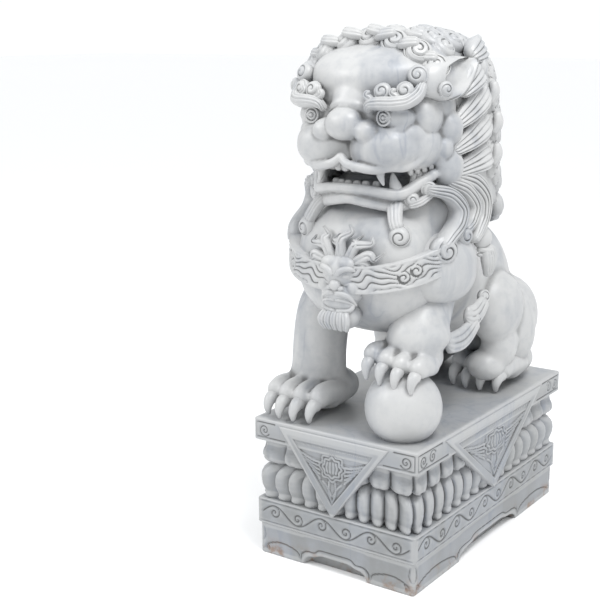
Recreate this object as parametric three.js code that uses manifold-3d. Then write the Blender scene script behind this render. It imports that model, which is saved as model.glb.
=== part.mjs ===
// A guardian lion carved with its ball and its lotus plinth from one block of pale marble.
// The frame is in millimetres, +Z up. The origin is the middle of the plinth's underside,
// the lion faces -Y, and its lifted left paw is at +X.

import * as THREE from 'three';
import { mergeVertices } from 'three/addons/utils/BufferGeometryUtils.js';
import Module from 'manifold-3d';

const wasm = await Module();
wasm.setup();

// Driving dimensions of the lion and its ball
const LION_HEIGHT = 870;
const BALL_RADIUS = 84;
const BALL_SUNK = 20;

// Driving dimensions of the plinth, from the slab down to the ground
const PLINTH_WIDTH = 426;
const PLINTH_LENGTH = 734;
const SLAB_HEIGHT = 52;
const UPPER_PETALS_HEIGHT = 57;
const LOWER_PETALS_HEIGHT = 84;
const BAND_HEIGHT = 62;
const FOOT_HEIGHT = 75;
const PETALS_INSET = 5;
const WAIST_INSET = 34;
const BAND_INSET = 4;
const FOOT_INSET = 9;
const UPPER_PETALS = { across: 7, along: 12 };
const LOWER_PETALS = { across: 11, along: 16 };
const PETAL_CLEFT = 13;
const CLOTH_PROUD = 3;
const CLOTH_SHARE = 0.67;
const ARCH_HEIGHT = 30;
const ARCH_DEPTH = 22;
const ARCH_SHARE = 0.42;

// Levels of the plinth's courses
const BAND_BOTTOM = FOOT_HEIGHT;
const LOWER_BOTTOM = BAND_BOTTOM + BAND_HEIGHT;
const WAIST_LEVEL = LOWER_BOTTOM + LOWER_PETALS_HEIGHT;
const SLAB_BOTTOM = WAIST_LEVEL + UPPER_PETALS_HEIGHT;
const SLAB_TOP = SLAB_BOTTOM + SLAB_HEIGHT;
const COURSE_BITE = 1;

// No edge much finer than this is left on the carving
const CHISEL = 4.4;

// The lion's own measure: every place and size of the figure is a share, in hundredths, of its height
const SHARE = LION_HEIGHT / 100;

const stone = new THREE.MeshStandardMaterial({ color: 0xd3d5d4, roughness: 0.42, metalness: 0 });

// A place on the figure, from shares of its height measured from the middle of the slab's top
const place = ([x, y, z]) => new THREE.Vector3(x * SHARE, y * SHARE, SLAB_TOP + z * SHARE);

const mirrored = (side) => ([x, y, z]) => [side * x, y, z];

// The closed solid of a geometry, once its doubled corners are merged
function solidOf(geometry) {
  geometry.deleteAttribute('normal');
  geometry.deleteAttribute('uv');
  const merged = mergeVertices(geometry, 1e-3);
  return new wasm.Manifold(new wasm.Mesh({
    numProp: 3,
    vertProperties: new Float32Array(merged.attributes.position.array),
    triVerts: new Uint32Array(merged.index.array),
  }));
}

// A rounded mass: an ellipsoid of the given half sizes, turned about X, Y and Z in degrees
function mass(at, half, { turn = [0, 0, 0], sides = 7, rows = 5 } = {}) {
  const geometry = new THREE.SphereGeometry(1, sides, rows);
  geometry.rotateX(Math.PI / 2);
  geometry.scale(half[0] * SHARE, half[1] * SHARE, half[2] * SHARE);
  const angles = turn.map(THREE.MathUtils.degToRad);
  geometry.applyMatrix4(new THREE.Matrix4().makeRotationFromEuler(new THREE.Euler(...angles, 'ZYX')));
  const centre = place(at);
  geometry.translate(centre.x, centre.y, centre.z);
  return solidOf(geometry);
}

// Rings of equal count joined into one closed skin, with a point at each end.
// A ring runs anticlockwise as seen from the last ring's side.
function skinOf(rings, firstPole, lastPole) {
  const sides = rings[0].length;
  const points = [...rings.flat(), firstPole, lastPole];
  const faces = [];
  for (let side = 0; side < sides; side += 1) {
    const next = (side + 1) % sides;
    for (let ring = 0; ring + 1 < rings.length; ring += 1) {
      const low = ring * sides;
      const high = low + sides;
      faces.push(low + side, low + next, high + next, low + side, high + next, high + side);
    }
    const top = (rings.length - 1) * sides;
    faces.push(rings.length * sides, next, side);
    faces.push(rings.length * sides + 1, top + side, top + next);
  }
  const geometry = new THREE.BufferGeometry();
  geometry.setAttribute('position', new THREE.Float32BufferAttribute(points.flatMap((p) => p.toArray()), 3));
  geometry.setIndex(faces);
  return solidOf(geometry);
}

// A limb, lock or lip: an oval section carried along a smooth path, with a rounded end at both ends.
// The sizes are [half width, half thickness] along the path, and the thickness faces `out`.
function limb(path, sizes, { out = [0, 0, 1], sides = 6, steps = 4 } = {}) {
  const curve = new THREE.CatmullRomCurve3(path.map(place));
  const facing = new THREE.Vector3(...out);
  const span = sizes.length - 1;
  const sizeAt = (t) => {
    const from = Math.min(Math.floor(t * span), span - 1);
    return [0, 1].map((k) => THREE.MathUtils.lerp(sizes[from][k], sizes[from + 1][k], t * span - from) * SHARE);
  };
  const rings = [];
  for (let step = 0; step <= steps; step += 1) {
    const t = step / steps;
    const centre = curve.getPoint(t);
    const along = curve.getTangent(t);
    const across = new THREE.Vector3().crossVectors(facing, along).normalize();
    const lift = new THREE.Vector3().crossVectors(along, across);
    const [width, thickness] = sizeAt(t);
    const ring = [];
    for (let side = 0; side < sides; side += 1) {
      const angle = (2 * Math.PI * side) / sides;
      ring.push(centre.clone()
        .addScaledVector(across, width * Math.cos(angle))
        .addScaledVector(lift, thickness * Math.sin(angle)));
    }
    rings.push(ring);
  }
  const endRise = 0.6;
  const pole = (t, sign) => curve.getPoint(t)
    .addScaledVector(curve.getTangent(t), sign * endRise * Math.min(...sizeAt(t)));
  return skinOf(rings, pole(0, -1), pole(1, 1));
}

// A snail curl of hair: a stepped round, turned to face `out`
function snail(at, out, radius, rise = 0.75) {
  const profile = [[0, -0.8], [0.9, -0.5], [1, 0.2], [0.6, 0.7], [0, 1]];
  const points = profile.map(([r, h]) => new THREE.Vector2(r * radius * SHARE, h * radius * rise * SHARE));
  const geometry = new THREE.LatheGeometry(points, 6);
  geometry.applyQuaternion(new THREE.Quaternion().setFromUnitVectors(
    new THREE.Vector3(0, 1, 0),
    new THREE.Vector3(...out).normalize(),
  ));
  const centre = place(at);
  geometry.translate(centre.x, centre.y, centre.z);
  return solidOf(geometry);
}

// The same forms on both flanks: `make` builds them for a side of +1 or -1
const both = (make) => [make(1), make(-1)].flat();

const join = (solids) => wasm.Manifold.union(solids.flat());

// Boxy rounding of a sine or a cosine: a power under 1 fills the corners of the oval
const boxy = (value, power = 0.85) => Math.sign(value) * Math.abs(value) ** power;

// The barrel from chest to seat, as upright ovals [y, middle height, half width, half height]
function trunk() {
  const sides = 14;
  const ovals = [
    [-37.2, 41, 9, 7], [-34, 41, 16, 12.5], [-28, 40.5, 21, 16.3], [-18, 40, 22.6, 18.6], [-8, 38.8, 20.4, 19],
    [0, 36.4, 17.5, 18], [10, 32.4, 16.6, 19], [20, 27.6, 16.5, 20.6], [28, 23.4, 14.5, 19.8], [34.6, 20, 9.6, 14.6],
  ];
  const rings = ovals.map(([y, z, width, height]) => {
    const ring = [];
    for (let side = 0; side < sides; side += 1) {
      const angle = (2 * Math.PI * (side + 0.5)) / sides;
      ring.push(place([-width * boxy(Math.cos(angle)), y, z + height * boxy(Math.sin(angle))]));
    }
    return ring;
  });
  return [
    skinOf(rings, place([0, -38.4, 41]), place([0, 38, 19])),
    mass([0, -12.6, 52.4], [20.8, 18, 13], { sides: 8 }),
    ...both((side) => mass([side * 17.8, -14.5, 35.6], [6.8, 9.6, 8.8], { sides: 8 })),
  ];
}

// A four-toed foot as one skin from heel to claw tips. `lift` raises the inner side, `fall` lowers the toes.
function paw([x, y, z], { wide, long, high, side = 1, lift = 0, fall = 0 }) {
  const toeCount = 4;
  const stations = [
    { along: 0, width: 0.62, height: 0.6, cleft: 0, toe: 0.15, reach: 0 },
    { along: 0.3, width: 0.9, height: 1, cleft: 0.03, toe: 0.15, reach: 0 },
    { along: 0.56, width: 1, height: 0.9, cleft: 0.14, toe: 0.15, reach: 0 },
    { along: 0.7, width: 1.02, height: 0.86, cleft: 0.5, toe: 0.15, reach: 0 },
    { along: 0.82, width: 1, height: 0.54, cleft: 0.6, toe: 0.14, reach: 0.04 },
    { along: 0.83, width: 0.97, height: 0.05, cleft: 0.6, toe: 0.05, reach: 0.14 },
  ];
  const rings = stations.map(({ along, width, height, cleft, toe, reach }) => {
    const at = (across, tall, forward) => place([
      x + side * across * wide * width,
      y - (along + forward) * 2 * long,
      z + tall * 2 * high - side * across * lift - along * fall,
    ]);
    const ring = [at(-0.92, 0, 0), at(0.92, 0, 0)];
    for (let count = toeCount - 1; count >= 0; count -= 1) {
      const middle = (2 * count + 1) / toeCount - 1;
      const bow = 1 - 0.2 * middle ** 2;
      const front = reach - 0.05 * middle ** 2;
      ring.push(at(middle + toe, height * bow, front), at(middle - toe, height * bow, front));
      if (count > 0) ring.push(at(middle - 1 / toeCount, height * (1 - cleft) * bow, -cleft * 0.06));
    }
    return side < 0 ? ring.reverse() : ring;
  });
  const heel = place([x, y + long * 0.12, z + high * 0.5]);
  const underToes = place([x, y - long * 1.6, z + high * 0.05 - fall]);
  return skinOf(rings, heel, underToes);
}

// A flame of fur behind the elbow
function elbowFlame(side, root, tip) {
  const middle = root.map((value, k) => (value + tip[k]) / 2 + (k === 2 ? -1.4 : 0));
  return limb([root, middle, tip].map(mirrored(side)), [[2, 3.4], [1.8, 3.2], [0.8, 1]], { sides: 5, steps: 2 });
}

// The planted right foreleg, straight down from the shoulder, and the lifted left one laid over the ball
function forelegs() {
  const option = { out: [0, -1, 0], sides: 10, steps: 3 };
  return [
    limb(
      [[-17, -16, 36], [-16.8, -21.5, 26], [-16.2, -24, 14], [-15.6, -24, 4]],
      [[6.8, 7.6], [7.2, 7.6], [7.2, 7.2], [7.6, 7.6]],
      option,
    ),
    paw([-15, -13.4, 0], { wide: 8.8, long: 14.2, high: 4.9, side: -1 }),
    limb(
      [[16.8, -18, 36], [16.2, -24.4, 29], [15, -27.6, 23], [14, -28, 17.6]],
      [[7, 7.8], [7.6, 7.8], [7.6, 7.2], [7.6, 5.8]],
      option,
    ),
    paw([13.8, -20, 14.2], { wide: 8.6, long: 9.8, high: 4.2, side: 1, lift: 1.2, fall: 0.5 }),
    ...both((side) => [
      elbowFlame(side, [20.2, -13.4, 25.6], [21.6, -2.6, 30.2]),
      elbowFlame(side, [19.4, -19.4, 20.4], [21.4, -7.4, 25.2]),
    ]),
  ];
}

// The folded hind legs: thigh, rump, shank and long foot
function hindLegs() {
  return both((side) => [
    mass([side * 16.5, 15, 22.5], [6.5, 9.5, 11]),
    mass([side * 13, 26, 18.5], [9.5, 12.3, 12], { sides: 8 }),
    mass([side * 18, 21, 12.5], [5, 8, 10.5], { turn: [10, 0, 0], rows: 4 }),
    paw([side * 12.2, 38, 0], { wide: 9, long: 14.4, high: 4.8, side }),
  ]);
}

// The head from the jaws to the domed brow, as level ovals [height, y, half width, half depth]
function head() {
  const sides = 12;
  const ovals = [
    [63, -17, 15, 13], [68, -19, 17, 15], [79, -19, 17.4, 14.6], [83, -18.6, 17, 14.6],
    [85.4, -18, 17.8, 18.4], [90, -18, 17.4, 17.7], [95, -17.6, 13.4, 13.6], [98, -16, 6.5, 7],
  ];
  const rings = ovals.map(([z, y, width, depth]) => {
    const ring = [];
    for (let side = 0; side < sides; side += 1) {
      const angle = (2 * Math.PI * side) / sides;
      ring.push(place([width * boxy(Math.cos(angle), 0.9), y + depth * boxy(Math.sin(angle), 0.9), z]));
    }
    return ring;
  });
  return skinOf(rings, place([0, -17, 62]), place([0, -15.5, 98.8]));
}

// Nose, muzzle pads, cheeks, eyes and the folds behind the cheeks
function face() {
  return [
    head(),
    limb([[0, -31, 86], [0, -34, 81], [0, -36, 78]], [[3, 3], [3.2, 3], [3.4, 3]], { out: [0, -1, 0], steps: 2 }),
    mass([0, -37, 77], [4.9, 4.2, 4.4]),
    mass([0, -36, 73.4], [4.4, 3.4, 2.4], { sides: 6, rows: 4 }),
    ...both((side) => [
      mass([side * 6.2, -36.8, 75.4], [3.1, 3.2, 2.9], { sides: 6, rows: 4 }),
      mass([side * 8.8, -30.6, 71.4], [9.2, 9, 6.4], { turn: [0, side * -6, side * -8], sides: 8 }),
      mass([side * 13.2, -25.4, 72.8], [6.4, 9.4, 7], { sides: 7 }),
      mass([side * 9.4, -30.6, 78.6], [4.9, 4.4, 3.1], { rows: 4 }),
      snail([side * 9.7, -34.2, 78.8], [0, -1, 0], 1.7, 0.5),
      mass([side * 16.6, -24.5, 77.4], [3.3, 3.8, 4.5], { sides: 6, rows: 4 }),
      mass([side * 18.6, -18.4, 74.2], [2.8, 3.4, 4.4], { sides: 6, rows: 4 }),
      mass([side * 18.2, -20, 66.4], [3, 4.4, 6], { sides: 6, rows: 4 }),
    ]),
  ];
}

// A flaming eyebrow: a heavy fold over the eye, with three curls on its crest
function eyebrow(side) {
  const at = mirrored(side);
  return [
    limb(
      [[5, -34, 79.8], [6.6, -35.4, 83], [11, -33.8, 82.8], [16, -30.2, 83.2], [18.4, -27, 86.4]].map(at),
      [[1.4, 1.6], [1.7, 2.2], [1.9, 2.8], [2.2, 2.8], [1.9, 2.4]],
      { out: [0, -1, 0], steps: 5 },
    ),
    snail(at([7.6, -34.6, 86]), [side * 0.2, -1, 0.35], 1.9, 1),
    snail(at([12.6, -31.8, 87]), [side * 0.4, -1, 0.35], 2, 1),
    snail(at([16.6, -28.6, 88.6]), [side * 0.7, -1, 0.4], 2.6),
  ];
}

// A folded leaf-shaped ear, hollow towards the side
function ear(side) {
  const at = mirrored(side);
  const leaf = mass(at([19.8, -19.6, 87.4]), [3.6, 8.6, 6.6], { turn: [-36, 0, 0], sides: 8 });
  const hollow = mass(at([23.4, -18.4, 88]), [2.8, 4.8, 3.8], { turn: [-36, 0, 0], sides: 6, rows: 4 });
  return [leaf.subtract(hollow), snail(at([21.4, -25, 84]), [side, -0.4, 0], 1.8)];
}

// The row of curls along the hairline, from ear to ear
function hairline() {
  const curls = [[-15.6, 93.2, 2.9], [-10.2, 96.4, 3], [-4, 98, 3.1], [2.6, 98, 3.1], [8.8, 96.6, 3.1], [14.4, 94, 3]];
  return curls.map(([x, z, radius]) => snail([x, -24, z - 1.5], [x / 20, -0.6, 0.9], radius));
}

// The open mouth: upper lip, corners and lower lip as one rolled rim, jaw, tongue, fangs and beard
function mouth() {
  return [
    mass([0, -20.5, 58], [13.4, 14.6, 3.2], { sides: 10, rows: 4 }),
    mass([0, -24, 60.4], [7, 9, 1.6], { sides: 6, rows: 4 }),
    mass([0, -18, 62], [14, 10, 7], { sides: 8, rows: 4 }),
    ...both((side) => {
      const at = mirrored(side);
      const option = { out: [0, -1, 0], sides: 5, steps: 1 };
      return [
        limb(
          [[0, -38, 69.4], [3, -38.8, 67], [8, -36.8, 65.2], [12.5, -32.6, 66], [15.6, -28, 68.2],
            [18.4, -22.8, 68.6], [19, -20.4, 65.8], [17.2, -22.6, 62.4], [14.6, -26, 59.2],
            [11.6, -29.6, 57.6], [6, -33.8, 59], [0, -35.4, 59.6]].map(at),
          [[0.7, 1], [1.1, 1.2], [1.2, 1.3], [1.3, 1.2], [1.3, 1.1], [1.2, 1.2], [1.3, 1.4]],
          { out: [side, -0.2, 0], sides: 5, steps: 10 },
        ),
        limb([[9.4, -32.4, 66.4], [9.6, -33, 61.4]].map(at), [[1.5, 1.5], [0.4, 0.4]], option),
        limb([[11.4, -29.4, 58.6], [11.6, -29.6, 63]].map(at), [[1.9, 1.9], [0.5, 0.5]], option),
        limb([[11.8, -29.4, 57], [12.6, -32, 53.6], [13, -32, 50.6]].map(at), [[1.9, 1.4], [1.9, 1.3], [2.1, 1.3]],
          { out: [side * 0.4, -1, 0], steps: 2 }),
        snail(at([13.2, -31.4, 49.8]), [side * 0.45, -1, 0.2], 2.5, 0.6),
      ];
    }),
  ];
}

// The mane as one skin. Locks fan out from the cheeks at both sides, each ending in a snail curl,
// and snail curls in rows cover the crown, the back of the head and the neck.
function maneSkin() {
  const cheek = { x: 20, y: -17, z: 73 };
  const midline = new THREE.CatmullRomCurve3([
    [-21, 98], [-14, 99], [-2, 98.6], [12, 94.6], [18.6, 84], [20.4, 70], [21.6, 57], [25, 46],
  ].map(([y, z]) => new THREE.Vector3(0, y, z)));
  const boxiness = 2.9;
  const rowCount = 9;
  const rowPoints = [[0, 0], [0.3, 1], [0.7, 1]];
  // [angle from the middle of the head in degrees, relief of the curls and locks]
  const across = [
    [79, 0.45], [64, 0.5], [56, 0.1], [51, 0.9], [41, 0.9], [36, 0], [31, 0.9], [18, 0.9], [12.5, 0], [6.5, 0.9],
  ];
  const columns = [...across, ...across.map(([angle, relief]) => [-angle, relief]).reverse()];
  const relief = 3.2;
  const rows = [];
  for (let row = 0; row < rowCount; row += 1) {
    rowPoints.forEach(([part, crest]) => rows.push([(row + part) / rowCount, crest]));
  }
  rows.push([1, 0]);
  const outline = rows.map(([t, crest]) => {
    const point = midline.getPointAt(t);
    return { y: point.y - cheek.y, z: point.z - cheek.z, crest };
  });
  outline.push({ y: 12, z: -30, crest: 0 }, { y: -8, z: 2, crest: 0 });
  const rings = columns.map(([degrees, high]) => {
    const angle = THREE.MathUtils.degToRad(degrees);
    const x = cheek.x * boxy(Math.sin(angle), 2 / boxiness);
    const spread = boxy(Math.cos(angle), 2 / boxiness);
    return outline.map(({ y, z, crest }) => {
      const away = Math.hypot(y, z);
      const raised = crest * high * relief - relief * 0.6;
      const out = spread + (raised * Math.cos(angle)) / away;
      const bulge = 1 + (raised * Math.abs(Math.sin(angle))) / cheek.x;
      return place([x * bulge, cheek.y + y * out, cheek.z + z * out]);
    });
  });
  return skinOf(rings, place([cheek.x, cheek.y, cheek.z]), place([-cheek.x, cheek.y, cheek.z]));
}

// The two long locks that sweep from under each cheek down to the collar
function longLocks(side) {
  const at = mirrored(side);
  const option = { out: [side, -0.1, 0], sides: 5 };
  return [
    limb([[17.6, -24, 60.4], [20, -19.6, 58], [21.6, -17.6, 54], [22.6, -20.6, 49.6], [22.4, -25, 45.6]].map(at),
      [[2, 1.3], [2.8, 1.8], [3, 2], [2.8, 2], [2.6, 1.8]], option),
    limb([[18, -15, 62], [19.4, -8.4, 60], [19.8, -4.6, 55], [20.6, -8, 49.6], [21.4, -13.4, 46.4]].map(at),
      [[2.2, 1.6], [3.6, 2.4], [4, 2.6], [3.2, 2.4], [2.4, 2]], option),
    snail(at([22.2, -25.6, 45.6]), [side, -0.5, 0], 3.6, 0.6),
    snail(at([22.6, -16.8, 48.6]), [side, -0.2, 0], 3, 0.6),
  ];
}

// The collar band round the chest, with the tassels at its ends
function collar() {
  const reach = 66;
  const path = [];
  for (let degrees = -reach; degrees <= reach; degrees += reach / 4) {
    const angle = THREE.MathUtils.degToRad(degrees);
    path.push([24 * boxy(Math.sin(angle)), -14 - 25 * boxy(Math.cos(angle)), 39.4 + 9 * (1 - Math.cos(angle))]);
  }
  return [
    limb(path, [[1.2, 3.4], [1.2, 3.4]], { steps: 12 }),
    ...both((side) => [
      mass([side * 22, -5.4, 46], [2.2, 4, 3.4], { sides: 6, rows: 4 }),
      mass([side * 22.2, -3, 40.4], [2, 3.2, 5.6], { turn: [-12, 0, 0], sides: 6, rows: 4 }),
    ]),
  ];
}

// The small lion mask hung on the collar, with a crest of flames
function chestMask() {
  const crest = [[-8, 47.6, -1], [-4.8, 51.4, -0.6], [2.4, 52.4, 0.2], [8, 50.6, 0.8], [12, 46.4, 1.2]];
  return [
    mass([0, -38, 41], [5.4, 3.6, 4.6]),
    mass([0, -38, 35.8], [5.8, 3.8, 3.4]),
    mass([0, -37.6, 30.4], [5.2, 4, 3.4]),
    mass([0, -41, 38], [1.5, 1.1, 1.4], { sides: 5, rows: 4 }),
    ...both((side) => mass([side * 2.6, -40.4, 40.6], [1.7, 1.2, 1.1], { sides: 5, rows: 4 })),
    ...crest.map(([x, z, lean]) => limb(
      [[x * 0.35, -38, 43.4], [x * 0.7 + lean, -37.4, (z + 44) / 2 + 0.6], [x, -36.6, z]],
      [[1.6, 1.8], [1.2, 1.6], [0.4, 0.5]],
      { out: [0, -1, 0], sides: 4, steps: 2 },
    )),
  ];
}

// The bushy tail laid up the back, with curls at both sides
function tail() {
  return [
    limb([[0, 35, 5], [0, 38.4, 17], [0, 37, 29], [0, 31, 40]], [[4.4, 3.4], [5.4, 3.8], [5, 3.6], [3.4, 3]],
      { out: [0, 1, 0], sides: 7 }),
    snail([0, 29.6, 42], [0, 0.8, 0.6], 3.6),
    ...both((side) => [0, 1].map((k) => (
      snail([side * 5.2, 37.6 - k * 2, 18 + 12 * k], [side * 0.6, 1, 0.2], 4.2 - 0.3 * k)
    ))),
  ];
}

// The outline of a petal course at one level, with the clefts between the petals cut `cleft` deep
function petalOutline(level, inset, petals, cleft) {
  const halves = [PLINTH_WIDTH / 2 - inset, PLINTH_LENGTH / 2 - inset];
  const corners = [[-1, -1], [1, -1], [1, 1], [-1, 1]].map(([x, y]) => [x * halves[0], y * halves[1]]);
  const normals = [[0, -1], [1, 0], [0, 1], [-1, 0]];
  const outline = [];
  corners.forEach((corner, face) => {
    const next = corners[(face + 1) % 4];
    const count = face % 2 ? petals.along : petals.across;
    for (let petal = 0; petal < count; petal += 1) {
      for (const part of [0, 0.26, 0.74]) {
        const t = (petal + part) / count;
        const deep = part === 0 && petal > 0 ? cleft : 0;
        outline.push(new THREE.Vector3(
          corner[0] + (next[0] - corner[0]) * t - normals[face][0] * deep,
          corner[1] + (next[1] - corner[1]) * t - normals[face][1] * deep,
          level,
        ));
      }
    }
  });
  return outline;
}

// One course of lotus petals: outlines stacked upwards, as [share of height, inset, depth of the clefts]
function petalCourse(bottom, height, petals, stations) {
  return skinOf(
    stations.map(([share, inset, cleft]) => petalOutline(bottom + share * height, inset, petals, cleft)),
    new THREE.Vector3(0, 0, bottom),
    new THREE.Vector3(0, 0, bottom + height),
  );
}

function block(width, length, bottom, height) {
  const geometry = new THREE.BoxGeometry(width, length, height);
  geometry.translate(0, 0, bottom + height / 2);
  return solidOf(geometry);
}

// A flat outline on one face of the plinth, drawn as [along the face, height], carried inwards by `depth`
function facePrism(outline, faceDistance, depth, quarter) {
  const geometry = new THREE.ExtrudeGeometry(
    new THREE.Shape(outline.map(([x, z]) => new THREE.Vector2(x, z))),
    { depth, bevelEnabled: false, steps: 1 },
  );
  geometry.rotateX(Math.PI / 2);
  geometry.translate(0, -faceDistance + depth, 0);
  geometry.rotateZ((quarter * Math.PI) / 2);
  return solidOf(geometry);
}

// The lotus plinth: slab, two courses of petals, band, bracketed foot and a hanging cloth on each face
function plinth() {
  const solids = [
    block(PLINTH_WIDTH, PLINTH_LENGTH, SLAB_BOTTOM, SLAB_HEIGHT),
    petalCourse(WAIST_LEVEL - COURSE_BITE, UPPER_PETALS_HEIGHT + 2 * COURSE_BITE, UPPER_PETALS, [
      [0, WAIST_INSET, 0],
      [0.55, WAIST_INSET / 4, PETAL_CLEFT],
      [1, PETALS_INSET, PETAL_CLEFT],
    ]),
    petalCourse(LOWER_BOTTOM - COURSE_BITE, LOWER_PETALS_HEIGHT + 2 * COURSE_BITE, LOWER_PETALS, [
      [0, PETALS_INSET * 2.4, PETAL_CLEFT],
      [0.4, PETALS_INSET, PETAL_CLEFT],
      [1, WAIST_INSET, 0],
    ]),
    block(PLINTH_WIDTH - 2 * BAND_INSET, PLINTH_LENGTH - 2 * BAND_INSET, BAND_BOTTOM, BAND_HEIGHT),
  ];
  let foot = block(PLINTH_WIDTH - 2 * FOOT_INSET, PLINTH_LENGTH - 2 * FOOT_INSET, 0, FOOT_HEIGHT + COURSE_BITE);
  for (let quarter = 0; quarter < 4; quarter += 1) {
    const onEnd = quarter % 2 === 0;
    const faceWidth = onEnd ? PLINTH_WIDTH : PLINTH_LENGTH;
    const distance = (onEnd ? PLINTH_LENGTH : PLINTH_WIDTH) / 2;
    const half = (faceWidth * ARCH_SHARE) / 2;
    const arch = [[-half, -1], [half, -1], [half * 0.93, ARCH_HEIGHT * 0.55], [half * 0.7, ARCH_HEIGHT * 0.72],
      [half * 0.45, ARCH_HEIGHT], [-half * 0.45, ARCH_HEIGHT], [-half * 0.7, ARCH_HEIGHT * 0.72],
      [-half * 0.93, ARCH_HEIGHT * 0.55]];
    foot = foot.subtract(facePrism(arch, distance - FOOT_INSET + 1, ARCH_DEPTH + 1, quarter));
    const clothHalf = (faceWidth * CLOTH_SHARE) / 2;
    const clothTop = SLAB_TOP - 9;
    const cloth = [[-clothHalf, clothTop], [0, LOWER_BOTTOM - COURSE_BITE], [clothHalf, clothTop]];
    solids.push(facePrism(cloth, distance + CLOTH_PROUD, WAIST_INSET + CLOTH_PROUD, quarter));
  }
  return [...solids, foot];
}

// The ball under the lifted paw, bedded a little into the slab
function ball() {
  const geometry = new THREE.IcosahedronGeometry(BALL_RADIUS, 3);
  const across = PLINTH_WIDTH / 2 - BALL_RADIUS - 1;
  const forward = PLINTH_LENGTH / 2 - BALL_RADIUS - 1;
  geometry.translate(across, -forward, SLAB_TOP + BALL_RADIUS - BALL_SUNK);
  return solidOf(geometry);
}

// Corners nearer to each other than `reach` drawn into one, wherever the skin stays closed
// and no face turns over. It clears the slivers left where rounded forms meet.
function softened(points, triangles, reach) {
  const corners = [];
  for (let k = 0; k < points.length; k += 3) corners.push(new THREE.Vector3(...points.slice(k, k + 3)));
  const faces = [];
  for (let k = 0; k < triangles.length; k += 3) faces.push([...triangles.slice(k, k + 3)]);
  const facesAt = corners.map(() => new Set());
  faces.forEach((face, index) => face.forEach((corner) => facesAt[corner].add(index)));

  const around = (corner) => new Set([...facesAt[corner]].flatMap((index) => faces[index]));
  const normalOf = ([a, b, c]) => new THREE.Vector3().crossVectors(b.clone().sub(a), c.clone().sub(a));
  const mayMove = (from, to) => {
    const beside = around(to);
    const shared = [...around(from)].filter((corner) => beside.has(corner) && corner !== from && corner !== to);
    if (shared.length !== 2) return false;
    return [...facesAt[from]].every((index) => {
      if (faces[index].includes(to)) return true;
      const before = normalOf(faces[index].map((corner) => corners[corner]));
      const after = normalOf(faces[index].map((corner) => corners[corner === from ? to : corner]));
      return after.length() > reach && before.dot(after) > 0.4 * before.length() * after.length();
    });
  };
  const move = (from, to) => {
    for (const index of [...facesAt[from]]) {
      if (faces[index].includes(to)) {
        faces[index].forEach((corner) => facesAt[corner].delete(index));
      } else {
        faces[index] = faces[index].map((corner) => (corner === from ? to : corner));
        facesAt[to].add(index);
      }
    }
    facesAt[from].clear();
  };

  let changed = true;
  while (changed) {
    changed = false;
    for (let from = 0; from < corners.length; from += 1) {
      const near = [...around(from)]
        .filter((to) => to !== from && corners[to].distanceTo(corners[from]) < reach && mayMove(from, to))
        .sort((a, b) => corners[a].distanceTo(corners[from]) - corners[b].distanceTo(corners[from]));
      if (near.length > 0) {
        move(from, near[0]);
        changed = true;
      }
    }
  }
  const kept = new Set(facesAt.flatMap((set) => [...set]));
  return [...kept].flatMap((index) => faces[index].flatMap((corner) => corners[corner].toArray()));
}

// The whole carving as one mesh
function carving() {
  const figure = join([
    ...trunk(), ...forelegs(), ...hindLegs(), ...face(), ...both(eyebrow), ...both(ear), ...mouth(),
    ...hairline(), maneSkin(), ...both(longLocks), ...collar(), ...chestMask(), ...tail(), ball(),
  ]);
  const underSlab = block(PLINTH_WIDTH, PLINTH_LENGTH, SLAB_BOTTOM - LION_HEIGHT, LION_HEIGHT + SLAB_HEIGHT / 2);
  const { vertProperties, triVerts } = join([figure.subtract(underSlab), ...plinth()]).getMesh();
  const geometry = new THREE.BufferGeometry();
  const corners = softened(vertProperties, triVerts, CHISEL);
  geometry.setAttribute('position', new THREE.Float32BufferAttribute(corners, 3));
  geometry.computeVertexNormals();
  return geometry;
}

const group = new THREE.Group();
const lion = new THREE.Mesh(carving(), stone);
lion.name = 'guardian_lion';
group.add(lion);

export default group;
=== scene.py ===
from math import pi, radians

import bpy
import numpy as np
from mathutils import Matrix, Vector


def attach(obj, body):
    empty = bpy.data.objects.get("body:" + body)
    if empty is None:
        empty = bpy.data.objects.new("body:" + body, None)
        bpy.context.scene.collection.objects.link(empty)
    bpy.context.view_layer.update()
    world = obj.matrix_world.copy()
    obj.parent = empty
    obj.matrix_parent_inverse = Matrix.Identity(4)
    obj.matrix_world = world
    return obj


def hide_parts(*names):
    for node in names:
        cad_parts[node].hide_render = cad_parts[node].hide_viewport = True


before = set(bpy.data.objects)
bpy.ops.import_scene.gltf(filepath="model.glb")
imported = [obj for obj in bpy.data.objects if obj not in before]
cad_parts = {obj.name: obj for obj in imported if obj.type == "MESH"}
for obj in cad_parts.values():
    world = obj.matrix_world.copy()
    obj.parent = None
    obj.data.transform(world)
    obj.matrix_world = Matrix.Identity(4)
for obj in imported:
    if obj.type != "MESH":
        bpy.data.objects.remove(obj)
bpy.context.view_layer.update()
print("frame loaded")

# The lion is laid out in shares of its own height above the slab: x to its left, y backwards, z up.
figure = {"height": 0.870, "slabTop": 0.330}
share = figure["height"] / 100


def bent(value, power):
    # The value's size raised to a power, with its sign kept: below 1 it makes round sections boxier.
    return np.sign(value) * np.abs(value) ** power


def curveThrough(knots, count):
    # Catmull-Rom: a cubic between each two knots, its slope at a knot
    # half the way from the one before to the one after.
    knots = np.asarray(knots, float)
    ends = np.concatenate([2 * knots[:1] - knots[1:2], knots, 2 * knots[-1:] - knots[-2:-1]])
    spot = np.linspace(0, len(knots) - 1, count)
    k = np.minimum(spot.astype(int), len(knots) - 2)
    t = (spot - k)[:, None]
    a, b, c, d = ends[k], ends[k + 1], ends[k + 2], ends[k + 3]
    return 0.5 * (2 * b + (c - a) * t + (2 * a - 5 * b + 4 * c - d) * t**2 + (3 * b - a - 3 * c + d) * t**3)


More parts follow.
